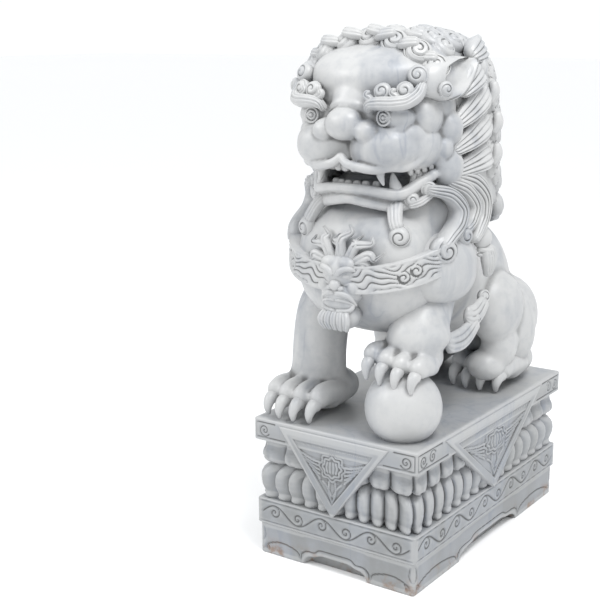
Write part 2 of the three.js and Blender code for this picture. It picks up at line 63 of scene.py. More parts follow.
def roundAngles(count):
    # Even angles once round, from 0 on, the last one left to the first.
    return np.linspace(0, 2 * pi, count, endpoint=False)


def unitLong(vectors):
    # Each vector divided by its length.
    return vectors / np.linalg.norm(vectors, axis=-1, keepdims=True)


def runAlong(line):
    # The way along a line up to each of its points, the sum of the steps before it.
    return np.concatenate([[0], np.cumsum(np.linalg.norm(np.diff(line, axis=0), axis=1))])


def facingOut(points, faces):
    # A closed skin's volume is the sum of its triangles' corner
    # products; where that is negative all faces are flipped.
    a, b, c = (points[faces[:, i]] for i in range(3))
    return faces[:, ::-1] if np.einsum("ij,ij->", a, np.cross(b, c)) < 0 else faces


def closedSkin(grid, poles=None):
    # Each row of the grid is a ring joined to the next one, and a fan closes each end to its pole.
    rows, cols = grid.shape[:2]
    first, last = (grid[0].mean(0), grid[-1].mean(0)) if poles is None else poles
    points = np.vstack([grid.reshape(-1, 3), first, last])
    here = np.arange(rows * cols).reshape(rows, cols)
    right = np.roll(here, -1, axis=1)
    a, b, c, d = (part.ravel() for part in (here[:-1], right[:-1], right[1:], here[1:]))
    start, end = np.full(cols, rows * cols), np.full(cols, rows * cols + 1)
    faces = np.vstack([
        np.column_stack([a, b, c]),
        np.column_stack([a, c, d]),
        np.column_stack([right[0], here[0], start]),
        np.column_stack([here[-1], right[-1], end]),
    ])
    return points, facingOut(points, faces)


def capped(front, sunk):
    # One sheet closed behind: its border carried back to the sunk
    # sheet's border, and a fan from there to the middle.
    rows, cols = front.shape[:2]
    far = rows * cols
    here = np.arange(far).reshape(rows, cols)
    a, b, c, d = (part.ravel() for part in (here[:-1, :-1], here[:-1, 1:], here[1:, 1:], here[1:, :-1]))
    edge = np.concatenate([here[0, :-1], here[:-1, -1], here[-1, :0:-1], here[:0:-1, 0]])
    rim = far + np.arange(len(edge))
    after, rimAfter = np.roll(edge, -1), np.roll(rim, -1)
    points = np.vstack([front.reshape(-1, 3), sunk.reshape(-1, 3)[edge], sunk.reshape(-1, 3)[edge].mean(0)])
    faces = np.vstack([
        np.column_stack([a, b, c]),
        np.column_stack([a, c, d]),
        np.column_stack([after, edge, rim]),
        np.column_stack([after, rim, rimAfter]),
        np.column_stack([rimAfter, rim, np.full(len(rim), len(points) - 1)]),
    ])
    return points, facingOut(points, faces)


def together(forms):
    # All points in one list and all faces in another, each form's faces counted on from the forms before it.
    before = np.cumsum([0] + [len(points) for points, _ in forms[:-1]])
    return np.vstack([points for points, _ in forms]), np.vstack([f + n for (_, f), n in zip(forms, before)])


def bothSides(forms):
    # Every form and its mirror image across the lion's middle plane,
    # the image's faces turned round to point out.
    return list(forms) + [(points * [-1, 1, 1], faces[:, ::-1]) for points, faces in forms]


def turning(angles):
    # The matrix of the turns about X, Y and Z in degrees, the one about Z made first.
    result = np.eye(3)
    for axis, angle in enumerate(angles):
        i, j = (axis + 1) % 3, (axis + 2) % 3
        one = np.eye(3)
        one[i, i] = one[j, j] = np.cos(radians(angle))
        one[i, j], one[j, i] = -np.sin(radians(angle)), np.sin(radians(angle))
        result = result @ one
    return result


def lump(at, half, turn=(0, 0, 0), rows=22, cols=30, boxy=1.0):
    # Ellipsoid: half sizes times (cos up * cos round, cos up * sin
    # round, sin up), turned and moved to its middle.
    up = np.linspace(-pi / 2, pi / 2, rows + 2)[1:-1, None]
    around = roundAngles(cols)[None]
    unit = [bent(np.cos(up), boxy) * bent(np.cos(around), boxy),
            bent(np.cos(up), boxy) * bent(np.sin(around), boxy), bent(np.sin(up), boxy) * np.ones_like(around)]
    grid, poles = np.stack(unit, -1), np.array([[0, 0, -1], [0, 0, 1]])
    spin = turning(turn).T
    return closedSkin(grid * half @ spin + at, poles * half @ spin + at)


def stack(middles, halves, sides, poles, rows=100, cols=110, boxy=0.85):
    # Ovals along a smooth curve: middle + half width * cos(a) * first
    # side + half height * sin(a) * second side.
    middle, half = curveThrough(middles, rows)[:, None], curveThrough(halves, rows)[:, None]
    a = roundAngles(cols)[None, :, None]
    first, second = np.asarray(sides, float)
    wide, tall = half[..., :1] * bent(np.cos(a), boxy), half[..., 1:] * bent(np.sin(a), boxy)
    return closedSkin(middle + wide * first + tall * second, np.asarray(poles, float))


def carried(path, sizes, out, steps):
    # The frame of a section carried along a curve: middles, sizes, direction across, direction
    # out and the round ends' shrink, a quarter circle that is as long as the section is thick.
    line = curveThrough(path, steps)
    size = np.maximum(curveThrough(sizes, steps), 0.03)
    along = unitLong(np.gradient(line, axis=0))
    across = unitLong(np.cross(along, np.asarray(out, float)))
    lift = np.cross(across, along)
    run = runAlong(line)
    near = np.clip(np.minimum(run / size[0].min(), (run[-1] - run) / size[-1].min()), 0, 1)
    shrink = np.sqrt(1 - (1 - near) ** 2).clip(0.05)
    return line, size, across, lift, shrink


def limb(path, sizes, out=(0, 0, 1), steps=30, cols=22, boxy=1.0):
    # Round section: half width * cos(a) across and half thickness * sin(a) out.
    line, size, across, lift, shrink = carried(path, sizes, out, steps)
    a = roundAngles(cols)[None, :, None]
    wide, thick = (size * shrink[:, None])[:, :1, None], (size * shrink[:, None])[:, 1:, None]
    return closedSkin(line[:, None] + wide * bent(np.cos(a), boxy) * across[:, None]
                      + thick * bent(np.sin(a), boxy) * lift[:, None])


def lock(path, sizes, out=(0, -1, 0), strands=4, depth=0.3, steps=44, cols=30, lip=0.0, under=0.6):
    # Ribbed lock of hair: over the width w from -1 to 1 the top stands sqrt(1 - |w|^3.2)
    # of the thickness high, lower towards w = -1 where it has a lip at w = 1, plus round
    # strands |sin(strands * (w + 1) * 90 degrees)|; underneath a flatter arc closes it.
    line, size, across, lift, shrink = carried(path, sizes, out, steps)
    turn = np.linspace(0, pi, cols)
    w = 0.45 * np.cos(turn) + 0.55 * (1 - 2 * turn / pi)
    top = np.sqrt((1 - np.abs(w) ** 3.2).clip(0))
    ribs = np.abs(np.sin(strands * (w + 1) * pi / 2)) * top
    slope = 1 - lip * (1 - w) / 2
    below = np.linspace(-1, 1, 7)[1:-1]
    w = np.concatenate([w, below])
    high = np.concatenate([top * slope, -under * np.sqrt(1 - below**2)])
    ribs = np.concatenate([ribs, 0 * below])
    rise = size[:, 1:] * high[None] + depth * ribs[None]
    grid = (line[:, None] + (shrink[:, None] * size[:, :1] * w[None])[..., None] * across[:, None]
            + (shrink[:, None] * rise)[..., None] * lift[:, None])
    return closedSkin(grid)


def snail(at, radius, out, turns=2.0, rise=0.6, hand=1, start=0.0, strands=2, rows=18, cols=32):
    # Spiral curl on a polar grid: with r from middle to rim and the angle a, w
    # = turns * r - a / 360 degrees is the way across a winding. Height = rise
    # * (1 - r^2.6), less a groove where w is whole, plus fine strands between.
    out = unitLong(np.asarray(out, float))
    side = unitLong(np.cross((0, 0, 1), out))
    top = np.cross(out, side)
    r = np.linspace(0.06, 1, rows)[:, None]
    a = roundAngles(cols)[None]
    w = (turns * r - hand * a / (2 * pi) + start) % 1
    groove = np.exp(-(np.minimum(w, 1 - w) / 0.14) ** 2) * np.clip(r * 5 - 0.4, 0, 1)
    fine = np.abs(np.sin(w * pi * strands)) * np.clip(r * 3 - 0.6, 0, 1)
    high = rise * (1 - r**2.6) - 0.17 * groove + 0.04 * fine
    reach = np.concatenate([r * np.ones_like(a), 0.92 * np.ones_like(a)])
    high = np.concatenate([high, np.full_like(a, -0.55)])
    grid = np.asarray(at, float) + radius * (
        (reach * np.cos(a))[..., None] * side + (reach * np.sin(a))[..., None] * top + high[..., None] * out)
    return closedSkin(grid)


def strokeGap(across, up, strokes):
    # How far each point of a relief lies from the nearest point of the drawn lines, in millimetres.
    spots = np.vstack(strokes)
    flat = np.column_stack([across.ravel(), up.ravel()])
    gap = np.empty(len(flat))
    for part in np.array_split(np.arange(len(flat)), max(1, len(flat) * len(spots) // 4000000)):
        gap[part] = np.sqrt(((flat[part, None] - spots[None]) ** 2).sum(-1).min(1))
    return gap.reshape(across.shape)


def ridge(gap, width):
    # A drawn line raised as a half round: 1 on the line, 0 from the width on.
    return np.sqrt(1 - np.clip(gap / width, 0, 1) ** 2)


def channels(gap, width):
    # A drawn line cut as a round channel: 1 on the line, fading as exp(-(gap / width)^2).
    return np.exp(-((gap / width) ** 2))


def relaxed(points, faces, rounds, step):
    # Each round moves every point a step of the way to the mean of its neighbours.
    ends = faces[:, [0, 1, 1, 2, 2, 0, 1, 0, 2, 1, 0, 2]].reshape(-1, 2)
    near = np.bincount(ends[:, 0], minlength=len(points)).clip(1)[:, None]
    for _ in range(rounds):
        total = np.column_stack([np.bincount(ends[:, 0], points[ends[:, 1], k], len(points)) for k in range(3)])
        points = points + step * (total / near - points)
    return points


def hollows(points, faces, reach):
    # How deep each point lies below its blurred surroundings along its normal,
    # as a share of the reach: 1 in the carving's hollows, -1 on its ridges.
    a, b, c = (points[faces[:, i]] for i in range(3))
    flat = np.cross(b - a, c - a)
    normal = np.column_stack([np.bincount(faces.ravel(), np.repeat(flat[:, k], 3), len(points))
                              for k in range(3)])
    normal /= np.linalg.norm(normal, axis=1, keepdims=True) + 1e-12
    deep = np.einsum("ij,ij->i", relaxed(points, faces, 10, 1.0) - points, normal)
    return np.clip(deep / reach, -1, 1)


def meshOf(name, points, faces):
    mesh = bpy.data.meshes.new(name)
    mesh.vertices.add(len(points))
    mesh.vertices.foreach_set("co", points.astype(np.float32).ravel())
    mesh.loops.add(faces.size)
    mesh.loops.foreach_set("vertex_index", faces.astype(np.int32).ravel())
    mesh.polygons.add(len(faces))
    mesh.polygons.foreach_set("loop_start", np.arange(0, faces.size, 3, dtype=np.int32))
    mesh.polygons.foreach_set("use_smooth", np.ones(len(faces), bool))
    mesh.update(calc_edges=True)
    return mesh


def inScene(name, data):
    # An object of its own for a mesh, a light or a camera.
    made = bpy.data.objects.new(name, data)
    bpy.context.scene.collection.objects.link(made)
    return made


def blended(points, faces, voxel, rounds):
    # All forms made one skin on a grid of voxels, then eased so that
    # they run into each other as in carved stone.
    draft = inScene("draft", meshOf("draft", points, faces))
    remesh = draft.modifiers.new("oneSkin", "REMESH")
    remesh.mode, remesh.voxel_size = "VOXEL", voxel
    result = bpy.data.meshes.new_from_object(draft.evaluated_get(bpy.context.evaluated_depsgraph_get()))
    points = np.empty(len(result.vertices) * 3, np.float32)
    result.vertices.foreach_get("co", points)
    result.calc_loop_triangles()
    faces = np.empty(len(result.loop_triangles) * 3, np.int32)
    result.loop_triangles.foreach_get("vertices", faces)
    bpy.data.objects.remove(draft)
    points, faces = points.reshape(-1, 3).astype(float), faces.reshape(-1, 3)
    return relaxed(points, faces, rounds, 0.5), faces


pieces = []


def stonePiece(name, masses=(), soft=(), crisp=(), voxel=0.003, rounds=12, inShares=True, reach=0.0016):
    # One piece of the carving: the masses blended into one well-eased skin, the soft
    # forms joined to it and eased a little, and the crisp ones laid into it as they are.
    scale, lift = (share, figure["slabTop"]) if inShares else (0.001, 0)

    def inPlace(forms):
        points, faces = together(list(forms))
        return points * scale + [0, 0, lift], faces

    skins = []
    if masses:
        skins = [blended(*inPlace(masses), voxel, rounds)]
    if soft:
        skins = [blended(*together(skins + [inPlace(soft)]), voxel, 2)]
    reaches = [voxel] * len(skins)
    if crisp:
        skins.append(inPlace(crisp))
        reaches.append(reach)
    deep = np.concatenate([hollows(points, faces, reach) for (points, faces), reach in zip(skins, reaches)])
    points, faces = together(skins)
    mesh = meshOf(name, points, faces)
    # How hollow each point lies, kept for the marble, which darkens the hollows with it as dust and painted
    # shade and paints the ridges paler as wear and painted highlight.
    mesh.attributes.new("hollow", "FLOAT", "POINT").data.foreach_set("value", deep.astype(np.float32))
    pieces.append(inScene(name, mesh))
    print(name, len(faces), "triangles, reaching", np.round(np.abs(points).max(0), 4).tolist())


# The plinth, in millimetres.
plinth = {
    "width": 426, "length": 734,
    "foot": 75, "band": 62, "lowerPetals": 84, "upperPetals": 57, "slab": 52,
    "waistInset": 34, "bandInset": 4, "footInset": 9,
    "upperCount": (7, 12), "lowerCount": (11, 16),
    "archHeight": 30, "archDepth": 22, "archShare": 0.42,
    "clothShare": 0.67, "clothProud": 3, "clothDrop": 9, "clothBorder": 17,
    "clothSunk": 4.4, "clothLine": 2.8, "cutWidth": 2.2, "courseCut": 2.8, "footCut": 2.4,
    "corner": 6, "bevel": 3.5, "inMiddle": 60,
}
# Half the way across an end face and across a long face, the two kinds of face, 0 and 1.
faceHalf = np.array([plinth["width"], plinth["length"]]) / 2
levels = dict(zip(("floor", "band", "lower", "waist", "slab", "top"), np.cumsum(
    [0] + [plinth[key] for key in ("foot", "band", "lowerPetals", "upperPetals", "slab")]).tolist()))


def loopSkin(ways, heights, inset):
    # A skin round the plinth. At each height every face is drawn in by inset(way along it, its
    # kind), and the way runs from -1 to 1 between corners that are rounded by quarter circles.
    radius = plinth["corner"]
    way = np.concatenate([ways[face % 2] for face in range(4)])
    face = np.concatenate([np.full(len(ways[k % 2]), k) for k in range(4)])
    wide, far = faceHalf[face % 2], faceHalf[1 - face % 2]
    angle = np.clip((np.abs(way) * wide - wide + radius) / radius, 0, 1) * pi / 4
    flat = np.minimum(np.abs(way) * wide / (wide - radius), 1)
    rows = []
    for height in heights:
        depth, z = inset(way, face % 2, height)
        across = np.sign(way) * (flat * (wide - depth - radius) + radius * np.sin(angle))
        away = radius - far + depth - radius * np.cos(angle)
        ring = np.stack([across, away, np.broadcast_to(z, way.shape)], -1)
        for quarter in range(1, 4):
            ring[face == quarter] = ring[face == quarter] @ turning((0, 0, 90 * quarter)).T
        rows.append(ring)
    return closedSkin(np.stack(rows))


def evenWays(counts):
    # Even steps along the two kinds of face, the last one left to the next face.
    return [np.linspace(-1, 1, count, endpoint=False) for count in counts]


def cornerWays(counts):
    # Few steps over the middle, which the cloth covers, and close ones on to both corners.
    covered = 0.6
    stops = (-1, -covered, covered, 1)
    ways = []
    for count in counts:
        spans = zip(stops, stops[1:], (count, 12, count))
        ways.append(np.concatenate([np.linspace(low, high, steps, endpoint=False) for low, high,
                                    steps in spans]))
    return ways


def courseProfile(bottom, height):
    # Rows of a plain course as (inset, height, whether the relief
    # shows): in to the middle below and above, rounded edges.
    bevel, step, middle = plinth["bevel"], 2.1, plinth["inMiddle"]
    a = np.linspace(0, pi / 2, 4)
    edge = [(bevel * (1 - np.sin(t)), bevel * (1 - np.cos(t)), 0) for t in a]
    face = [(0, z, 1) for z in np.linspace(bevel + 1, height - bevel - 1, int((height - 2 * bevel) / step))]
    rows = [(middle, 0, 0), (9, 0, 0)] + edge + face
    rows += [(x, height - z, 0) for x, z, _ in edge[::-1]] + [(9, height, 0), (middle, height, 0)]
    return [(x, bottom + z, shown) for x, z, shown in rows]


def carvedCourse(bottom, height, inset, strokes, ways):
    # A plain course whose faces carry drawn lines cut as channels.
    rows = courseProfile(bottom, height)
    shown = [z for _, z, seen in rows if seen]
    cuts = []
    for kind in (0, 1):
        across, up = np.meshgrid(ways[kind] * (faceHalf[kind] - inset), shown)
        cuts.append(plinth["courseCut"] * channels(strokeGap(across, up, strokes(kind)), plinth["cutWidth"]))

    def relief(way, kind, k):
        away, z, seen = rows[k]
        row = shown.index(z) if seen else 0
        cut = np.concatenate([cuts[face % 2][row] for face in range(4)]) * seen
        return inset + away + cut, z
    return loopSkin(ways, range(len(rows)), relief)


def petalSteps(counts, steps):
    # Even steps along the two kinds of face, as many to each petal as said.
    return evenWays([count * each for count, each in zip(counts, steps)])


def petalWay(ways, faces, counts):
    # Where each point lies in its own petal, -1 to 1 from cleft to cleft.
    count = np.where(faces == 0, counts[0], counts[1])
    return 2 * (((ways + 1) / 2 * count) % 1) - 1


def upperPetals():
    # Hanging petals: wide lobes, full and round at the bottom where they turn under to
    # the waist, notched in the middle there and a little scooped out above the swelling.
    def inset(ways, faces, v):
        w = petalWay(ways, faces, plinth["upperCount"])
        side = np.abs(w)
        base = np.interp(v, [0, 0.03, 0.08, 0.16, 0.27, 0.4, 0.6, 0.94, 1],
                         [34, 21, 12.5, 7.5, 5, 5.5, 8.5, 10, 11])
        lobe = 13 * side**3
        scoop = 3.5 * (1 - (side / 0.9) ** 2 - ((v - 0.76) / 0.3) ** 2).clip(0)
        droop = (15 * side**3.4 + 3.5 * (1 - side / 0.3).clip(0)) * (1 - v / 0.5).clip(0) ** 1.2
        return base + lobe + scoop + droop, levels["waist"] - 1 + v * (plinth["upperPetals"] + 2)
    return loopSkin(petalSteps(plinth["upperCount"], (26, 23)),
                    np.concatenate([[0], np.linspace(0.015, 1, 26)]), inset)


def lowerPetals():
    # Swelling petals: full round lobes, tucked back to the waist at the top. At the
    # bottom each curls into a small rolled lip, and its lower corners are rounded away.
    def inset(ways, faces, v):
        w = petalWay(ways, faces, plinth["lowerCount"])
        side = np.abs(w)
        base = np.interp(v, [0, 0.05, 0.11, 0.19, 0.27, 0.4, 0.55, 0.7, 0.82, 0.91, 0.97, 1],
                         [15, 9.5, 8, 10, 8, 4.6, 3.4, 4.4, 8.4, 15, 23, 34])
        lobe = 13 * side**2.4
        corner = 14 * side**2.6 * (1 - v / 0.36).clip(0) ** 1.4
        tuck = 9 * side**2.4 * ((v - 0.6) / 0.4).clip(0) ** 1.3
        return base + lobe + (corner + tuck), levels["lower"] - 1 + v * (plinth["lowerPetals"] + 2)
    return loopSkin(petalSteps(plinth["lowerCount"], (18, 17)), np.linspace(0, 1, 28), inset)


def archEdge(ways):
    # Lower edge of the foot: on the ground at the corners, raised in
    # a cusped arch over the middle of each face.
    way = np.abs(ways) / plinth["archShare"]
    return plinth["archHeight"] * np.interp(way, [0, 0.4, 0.5, 0.6, 0.72, 0.8, 0.9, 0.97, 1],
                                            [1, 1, 0.94, 0.8, 0.74, 0.7, 0.55, 0.3, 0])


def foot():
    # Down the face, in under the arch by its depth, down to the ground and in
    # to the middle. Channels on the face follow the arch and the corner pads.
    middle, deep, high = plinth["inMiddle"], plinth["archDepth"], plinth["archHeight"]
    ways = evenWays((130, 210))
    down = np.linspace(0.965, 0.04, 24)
    rows = [(middle, 1, 0), (9, 1, 0), (2.5, 1, 0), (0.6, 0.985, 0)] + [(0, up, 0) for up in down]
    rows += [(0.6, 0.015, 0), (2.5, 0, 0), (deep, 0, 0), (deep + 1, 0, 1), (middle, 0, 1)]

    def strokes(kind):
        half = faceHalf[kind]
        arch, corner = half * plinth["archShare"], half - 12
        cusps = [(-1.03, 2), (-1.0, 0.55 * high + 8), (-0.82, high + 2), (-0.62, high + 3), (-0.45, high + 12),
                 (0, high + 13)]
        cusps += [(-x, z) for x, z in cusps[-2::-1]]
        lines = [line(*[(x * arch, z) for x, z in cusps], count=260)]
        for hand in (-1, 1):
            span = corner - arch
            pad = [(hand * (arch + 3), 2), (hand * (arch + 0.12 * span), 24), (hand * (arch + 0.5 * span), 34),
                   (hand * (arch + 0.82 * span), 26), (hand * corner, 8)]
            lines.append(line(*pad, count=160))
            lines.append(line(*[(hand * (half - x), z) for x, z in ((16, 66), (20, 44), (13, 30))], count=60))
            lines.append(spiral((hand * (half - 24), 15), 9, 1.3, 0.5, hand))
        return lines

    cuts = []
    for kind in (0, 1):
        edge = archEdge(ways[kind])
        across = np.tile(ways[kind] * (faceHalf[kind] - plinth["footInset"]), (len(rows), 1))
        up = np.stack([edge + up * (plinth["foot"] + 1 - edge) for _, up, _ in rows])
        flat = np.array([away == 0 for away, _, _ in rows])[:, None]
        gap = strokeGap(across, up, strokes(kind))
        cuts.append(plinth["footCut"] * channels(gap, plinth["cutWidth"]) * flat)

    def inset(way, kind, k):
        away, up, ground = rows[k]
        edge = archEdge(way)
        cut = np.concatenate([cuts[face % 2][k] for face in range(4)])
        return plinth["footInset"] + away + cut, (1 - ground) * (edge + up * (plinth["foot"] + 1 - edge))
    return loopSkin(ways, range(len(rows)), inset)


def onFace(face, across, up, out):
    # A relief's own axes, across, up and out in millimetres, laid on one of the four faces.
    local = np.stack([across, -faceHalf[1 - face % 2] - out, up], -1)
    for _ in range(face):
        local = np.stack([-local[..., 1], local[..., 0], local[..., 2]], -1)
    return local


def spiral(middle, radius, turns, start, hand, count=70):
    # Points of a spiral: the radius grows evenly with the angle.
    t = np.linspace(0.06, 1, count)
    angle = start + hand * turns * 2 * pi * t
    return np.column_stack([middle[0] + radius * t * np.cos(angle), middle[1] + radius * t * np.sin(angle)])


def line(*knots, count=40):
    return curveThrough(np.array(knots, float), count)


def cloth(face):
    # Hanging corner of cloth: across w and down v; the plain border stands proud, and the
    # field inside it carries a round flower, leaves, stems and a bead row on a netted ground.
    wide = faceHalf[face % 2] * plinth["clothShare"]
    top, tip = levels["top"] - plinth["clothDrop"], levels["lower"] - 1
    deep = top - tip
    v = np.linspace(0, 1, 88)[:, None] ** 0.9
    w = np.linspace(-1, 1, 116 if face % 2 == 0 else 156)[None]
    across, up = wide * w * (1 - v * 0.995), top - deep * v * np.ones_like(w)
    edge = np.minimum((wide * (1 - v) - np.abs(across)) * deep / np.hypot(wide, deep), (top - up) * 0.8)
    border = plinth["clothBorder"]
    inner = np.clip((edge - border) / 1.6, 0, 1)
    k = wide / 143
    heart = top - 0.37 * deep
    a = np.linspace(0, 2 * pi, 120)
    wave = 1 + 0.1 * np.cos(8 * a)
    lines = [np.column_stack([size * k * wave * np.cos(a), heart + 0.95 * size * wave * np.sin(a)])
             for size in (31, 23)]
    lines += [line((x * k, heart - 11), (x * k * 1.25, heart), (x * k, heart + 11)) for x in (-11, -4, 4, 11)]
    beads = []
    for hand in (-1, 1):
        for drop, reach in ((10, 92), (2, 84), (-7, 72), (-17, 60), (-27, 50)):
            lines.append(line((hand * 33 * k, heart + drop - 4), (hand * (20 + reach) / 2 * k, heart + drop),
                              (hand * reach * k, heart + drop + 13), count=60))
        lines += [line((hand * 3 * k, heart - 66), (hand * 14 * k, heart - 46), (hand * 24 * k, heart - 36),
                       count=40),
                  line((0, heart - 84), (hand * 9 * k, heart - 58), (hand * 8 * k, heart - 34), count=40)]
        beads += [[hand * (wide - border * 2.3) * (1 - t) + hand * 2,
                   top - border * 1.55 - (deep - border * 3.1) * t]
                  for t in np.linspace(0.04, 0.93, 30)]
    beads += [[t * (wide - border * 2.5), top - border * 1.6] for t in np.linspace(-0.9, 0.9, 38)]
    drawn = ridge(strokeGap(across, up, lines), plinth["clothLine"])
    dots = ridge(strokeGap(across, up, [np.array(beads)]), plinth["clothLine"])
    net = np.cos(across / k**0.5 * 0.9 + up * 0.9) * np.cos(across / k**0.5 * 0.9 - up * 0.9)
    dome = np.clip(1 - np.hypot(across / (30 * k), (up - heart) / 29) ** 2, 0, 1)
    sunk = -plinth["clothSunk"]
    ground = sunk + 3.0 * dome + 0.7 * net * (1 - dome)
    field = np.minimum(np.maximum(ground + 2.6 * drawn, sunk + 3.4 * dots), 0)
    high = plinth["clothProud"] + field * inner - 1.2 * (1 - np.clip(edge / 1.5, 0, 1)) ** 2
    behind = np.full_like(high, -plinth["waistInset"] - 2)
    return capped(onFace(face, across, up, high), onFace(face, across, up, behind))


def slabPanels(kind):
    # Beside the cloth, on the slab: a frame of one line and a spiral in it, on the long faces two.
    half = faceHalf[kind]
    cut = half * plinth["clothShare"]
    bottom, top = levels["slab"] + 8, levels["top"] - 9
    lines = []
    for hand in (-1, 1):
        lines += [spiral((hand * (half - 27), (bottom + top) / 2), 15, 1.8, 0.5 * pi + hand * 0.9, -hand, 160),
                  line((hand * (half - 5), bottom), (hand * (half - 5), top)),
                  line((hand * (cut + 14), top), (hand * (half - 5), top), count=120),
                  line((hand * (cut - 16), bottom), (hand * (half - 5), bottom), count=120)]
        if kind:
            middle = (hand * (half - 66), (bottom + top) / 2)
            lines.append(spiral(middle, 15, 1.8, -0.5 * pi - hand * 0.9, hand, 160))
    return lines


def bandScroll(kind):
    # The running scroll: a wave along the band, and from each of its
    # crests a spiral that winds into the bay below.
    half = faceHalf[kind] - plinth["bandInset"]
    count = (6, 10)[kind]
    bottom, top = levels["band"] + 8, levels["band"] + plinth["band"] - 8
    middle, step = (bottom + top) / 2, 2 * (half - 14) / count
    lines = [line((6 - half, z), (half - 6, z), count=220) for z in (bottom - 2, top + 2)]
    x = np.linspace(14 - half, half - 14, 60 * count)
    lines.append(np.column_stack([x, middle + 17 * np.sin(pi * (x - 14 + half) / step)]))
    for k in range(count):
        hand = -1 if k % 2 else 1
        bay = (14 - half + (k + 0.5) * step, middle + hand)
        lines.append(spiral(bay, 15, 1.5, hand * (pi / 2 - 3 * pi), hand, 130))
    return lines


stonePiece("plinth_blocks", crisp=[
    carvedCourse(levels["slab"], plinth["slab"], 0, slabPanels, cornerWays((44, 60))),
    carvedCourse(levels["band"], plinth["band"], plinth["bandInset"], bandScroll, evenWays((120, 200))),
    foot(),
], inShares=False)
stonePiece("plinth_petals", crisp=[upperPetals(), lowerPetals()], inShares=False, reach=0.0026)
stonePiece("plinth_cloths", crisp=[cloth(face) for face in range(4)], inShares=False)
print("plinth carved")

# Body and limbs, in shares.
body = {
    # middle y and z, half width and half height of the barrel from chest to seat
    "barrel": [(-37.2, 41, 9, 7), (-34, 41, 15.6, 12.5), (-28, 40.5, 19.2, 16.3), (-18, 40, 19.4, 18.6),
               (-8, 38.8, 18.4, 19), (0, 36.4, 17.5, 18), (10, 32.4, 16.6, 19), (20, 27.6, 16.5, 20.6),
               (28, 23.4, 14.5, 19.8), (34.6, 20, 9.6, 14.6)],
    "voxel": 0.0066, "legVoxel": 0.0048,
}


def barrel():
    ovals = np.array(body["barrel"])
    middles = np.column_stack([0 * ovals[:, 0], ovals[:, 0], ovals[:, 1]])
    return stack(middles, ovals[:, 2:], [(1, 0, 0), (0, 0, 1)], [(0, -38.4, 41), (0, 38, 19)])


def toes(at, long, high, wide, side=1, lift=0.0, fall=0.0, claw=1.0):
    # Four toes: each a limb from the instep over its high knuckle and steeply down in
    # front, where a hooked claw as wide as the toe leaves it and tapers to the ground.
    x, y, z = at

    def place(across, along, tall):
        return [x + side * across * wide, y - along * 2 * long,
                z + tall * 2 * high - side * across * lift - along * fall]

    forms, claws = [], []
    for middle in (-0.75, -0.25, 0.25, 0.75):
        back = 0.07 * middle**2
        tip = 0.955 - back
        forms.append(limb([place(middle * 0.9, 0.3, 0.46), place(middle, 0.5, 0.6), place(middle, 0.68, 0.68),
                           place(middle * 1.01, tip - 0.13, 0.64), place(middle * 1.02, tip - 0.05, 0.5)],
                          [[wide * 0.22, high * 0.56], [wide * 0.25, high * 0.62], [wide * 0.262, high * 0.68],
                           [wide * 0.255, high * 0.66], [wide * 0.235, high * 0.5]], cols=24))
        forms.append(lump(place(middle, tip - 0.21, 0.84), [wide * 0.2, long * 0.2, high * 0.34], rows=16,
                          cols=22))
        claws.append(limb([place(middle * 1.01, tip - 0.13, 0.5), place(middle * 1.01, tip - 0.03, 0.48),
                           place(middle * 0.99, tip + 0.02, 0.3),
                           place(middle * 0.97, tip + 0.012, 0.25 - 0.2 * claw)],
                          [[wide * 0.185, high * 0.42], [wide * 0.18, high * 0.36], [wide * 0.135, high * 0.25],
                           [wide * 0.045, high * 0.1]], out=(0, -0.3, 1), steps=22, cols=16))
    instep = limb([place(0, -0.02, 0.42), place(0, 0.2, 0.52), place(0, 0.42, 0.5), place(0, 0.66, 0.34)],
                  [[wide * 0.66, high * 0.8], [wide * 0.84, high * 1.0], [wide * 0.95, high * 0.94],
                   [wide * 0.98, high * 0.6]],
                  boxy=0.9)
    return [instep], forms, claws


def plantedLeg():
    leg = limb([(-17, -15, 40), (-15.4, -17.4, 34), (-16.2, -21.5, 26), (-16.2, -24, 14), (-15.6, -24, 4)],
               [[5.0, 6], [5.6, 6.0], [6.9, 7.6], [7.2, 7.2], [7.6, 7.6]], out=(0, -1, 0), steps=50, cols=40)
    shape = [lump((-16.2, -24.6, 9.4), (7.6, 7.6, 4.2)), lump((-16.6, -21, 26), (7.0, 7.4, 4.6))]
    instep, forms, claws = toes((-15, -13.4, 0), 14.2, 4.9, 8.8, -1)
    return [leg] + shape + instep, forms, claws


def liftedLeg():
    leg = limb([(15, -15, 40), (14.8, -17.6, 34.5), (15.2, -23.6, 28.4), (14.8, -27.4, 23), (14, -28, 17.6)],
               [[5.0, 6], [5.6, 5.6], [6.7, 6.9], [7.4, 7.2], [7.6, 5.8]], out=(0, -1, 0), steps=50, cols=40)
    shape = [lump((15.6, -26, 24.6), (7.7, 7.4, 5.0))]
    instep, forms, claws = toes((13.8, -20, 14.2), 9.8, 4.2, 8.6, 1, 1.2, 0.5, 1.35)
    return [leg] + shape + instep, forms, claws


def shoulders():
    # A full round swelling on each side that overhangs the leg below it.
    return bothSides([lump((16.6, -19.2, 40.6), (8.15, 12.0, 9.2), (-4, 0, 0), 50, 64, 0.86)])


def flameTuft(root, tip, size=1.0, bow=-1.6):
    # A leaf of fur: a ribbed lock, full in the middle, whose end turns up into a small curl.
    root, tip = np.array(root, float), np.array(tip, float)
    middle = (root + tip) / 2 + [0, 0, bow]
    return [lock([root, middle, tip], np.array([[2.5, 1.5], [2.8, 1.7], [1.7, 1.2]]) * size, out=(1, -0.2, 0),
                 strands=4, depth=0.3, steps=34, cols=30, lip=0.5),
            snail(tip + [0.1, -0.5, 0.5], 1.9 * size, (1, -0.3, 0.1), 1.5, 0.5, 1, 0.3, 1, 14, 26)]


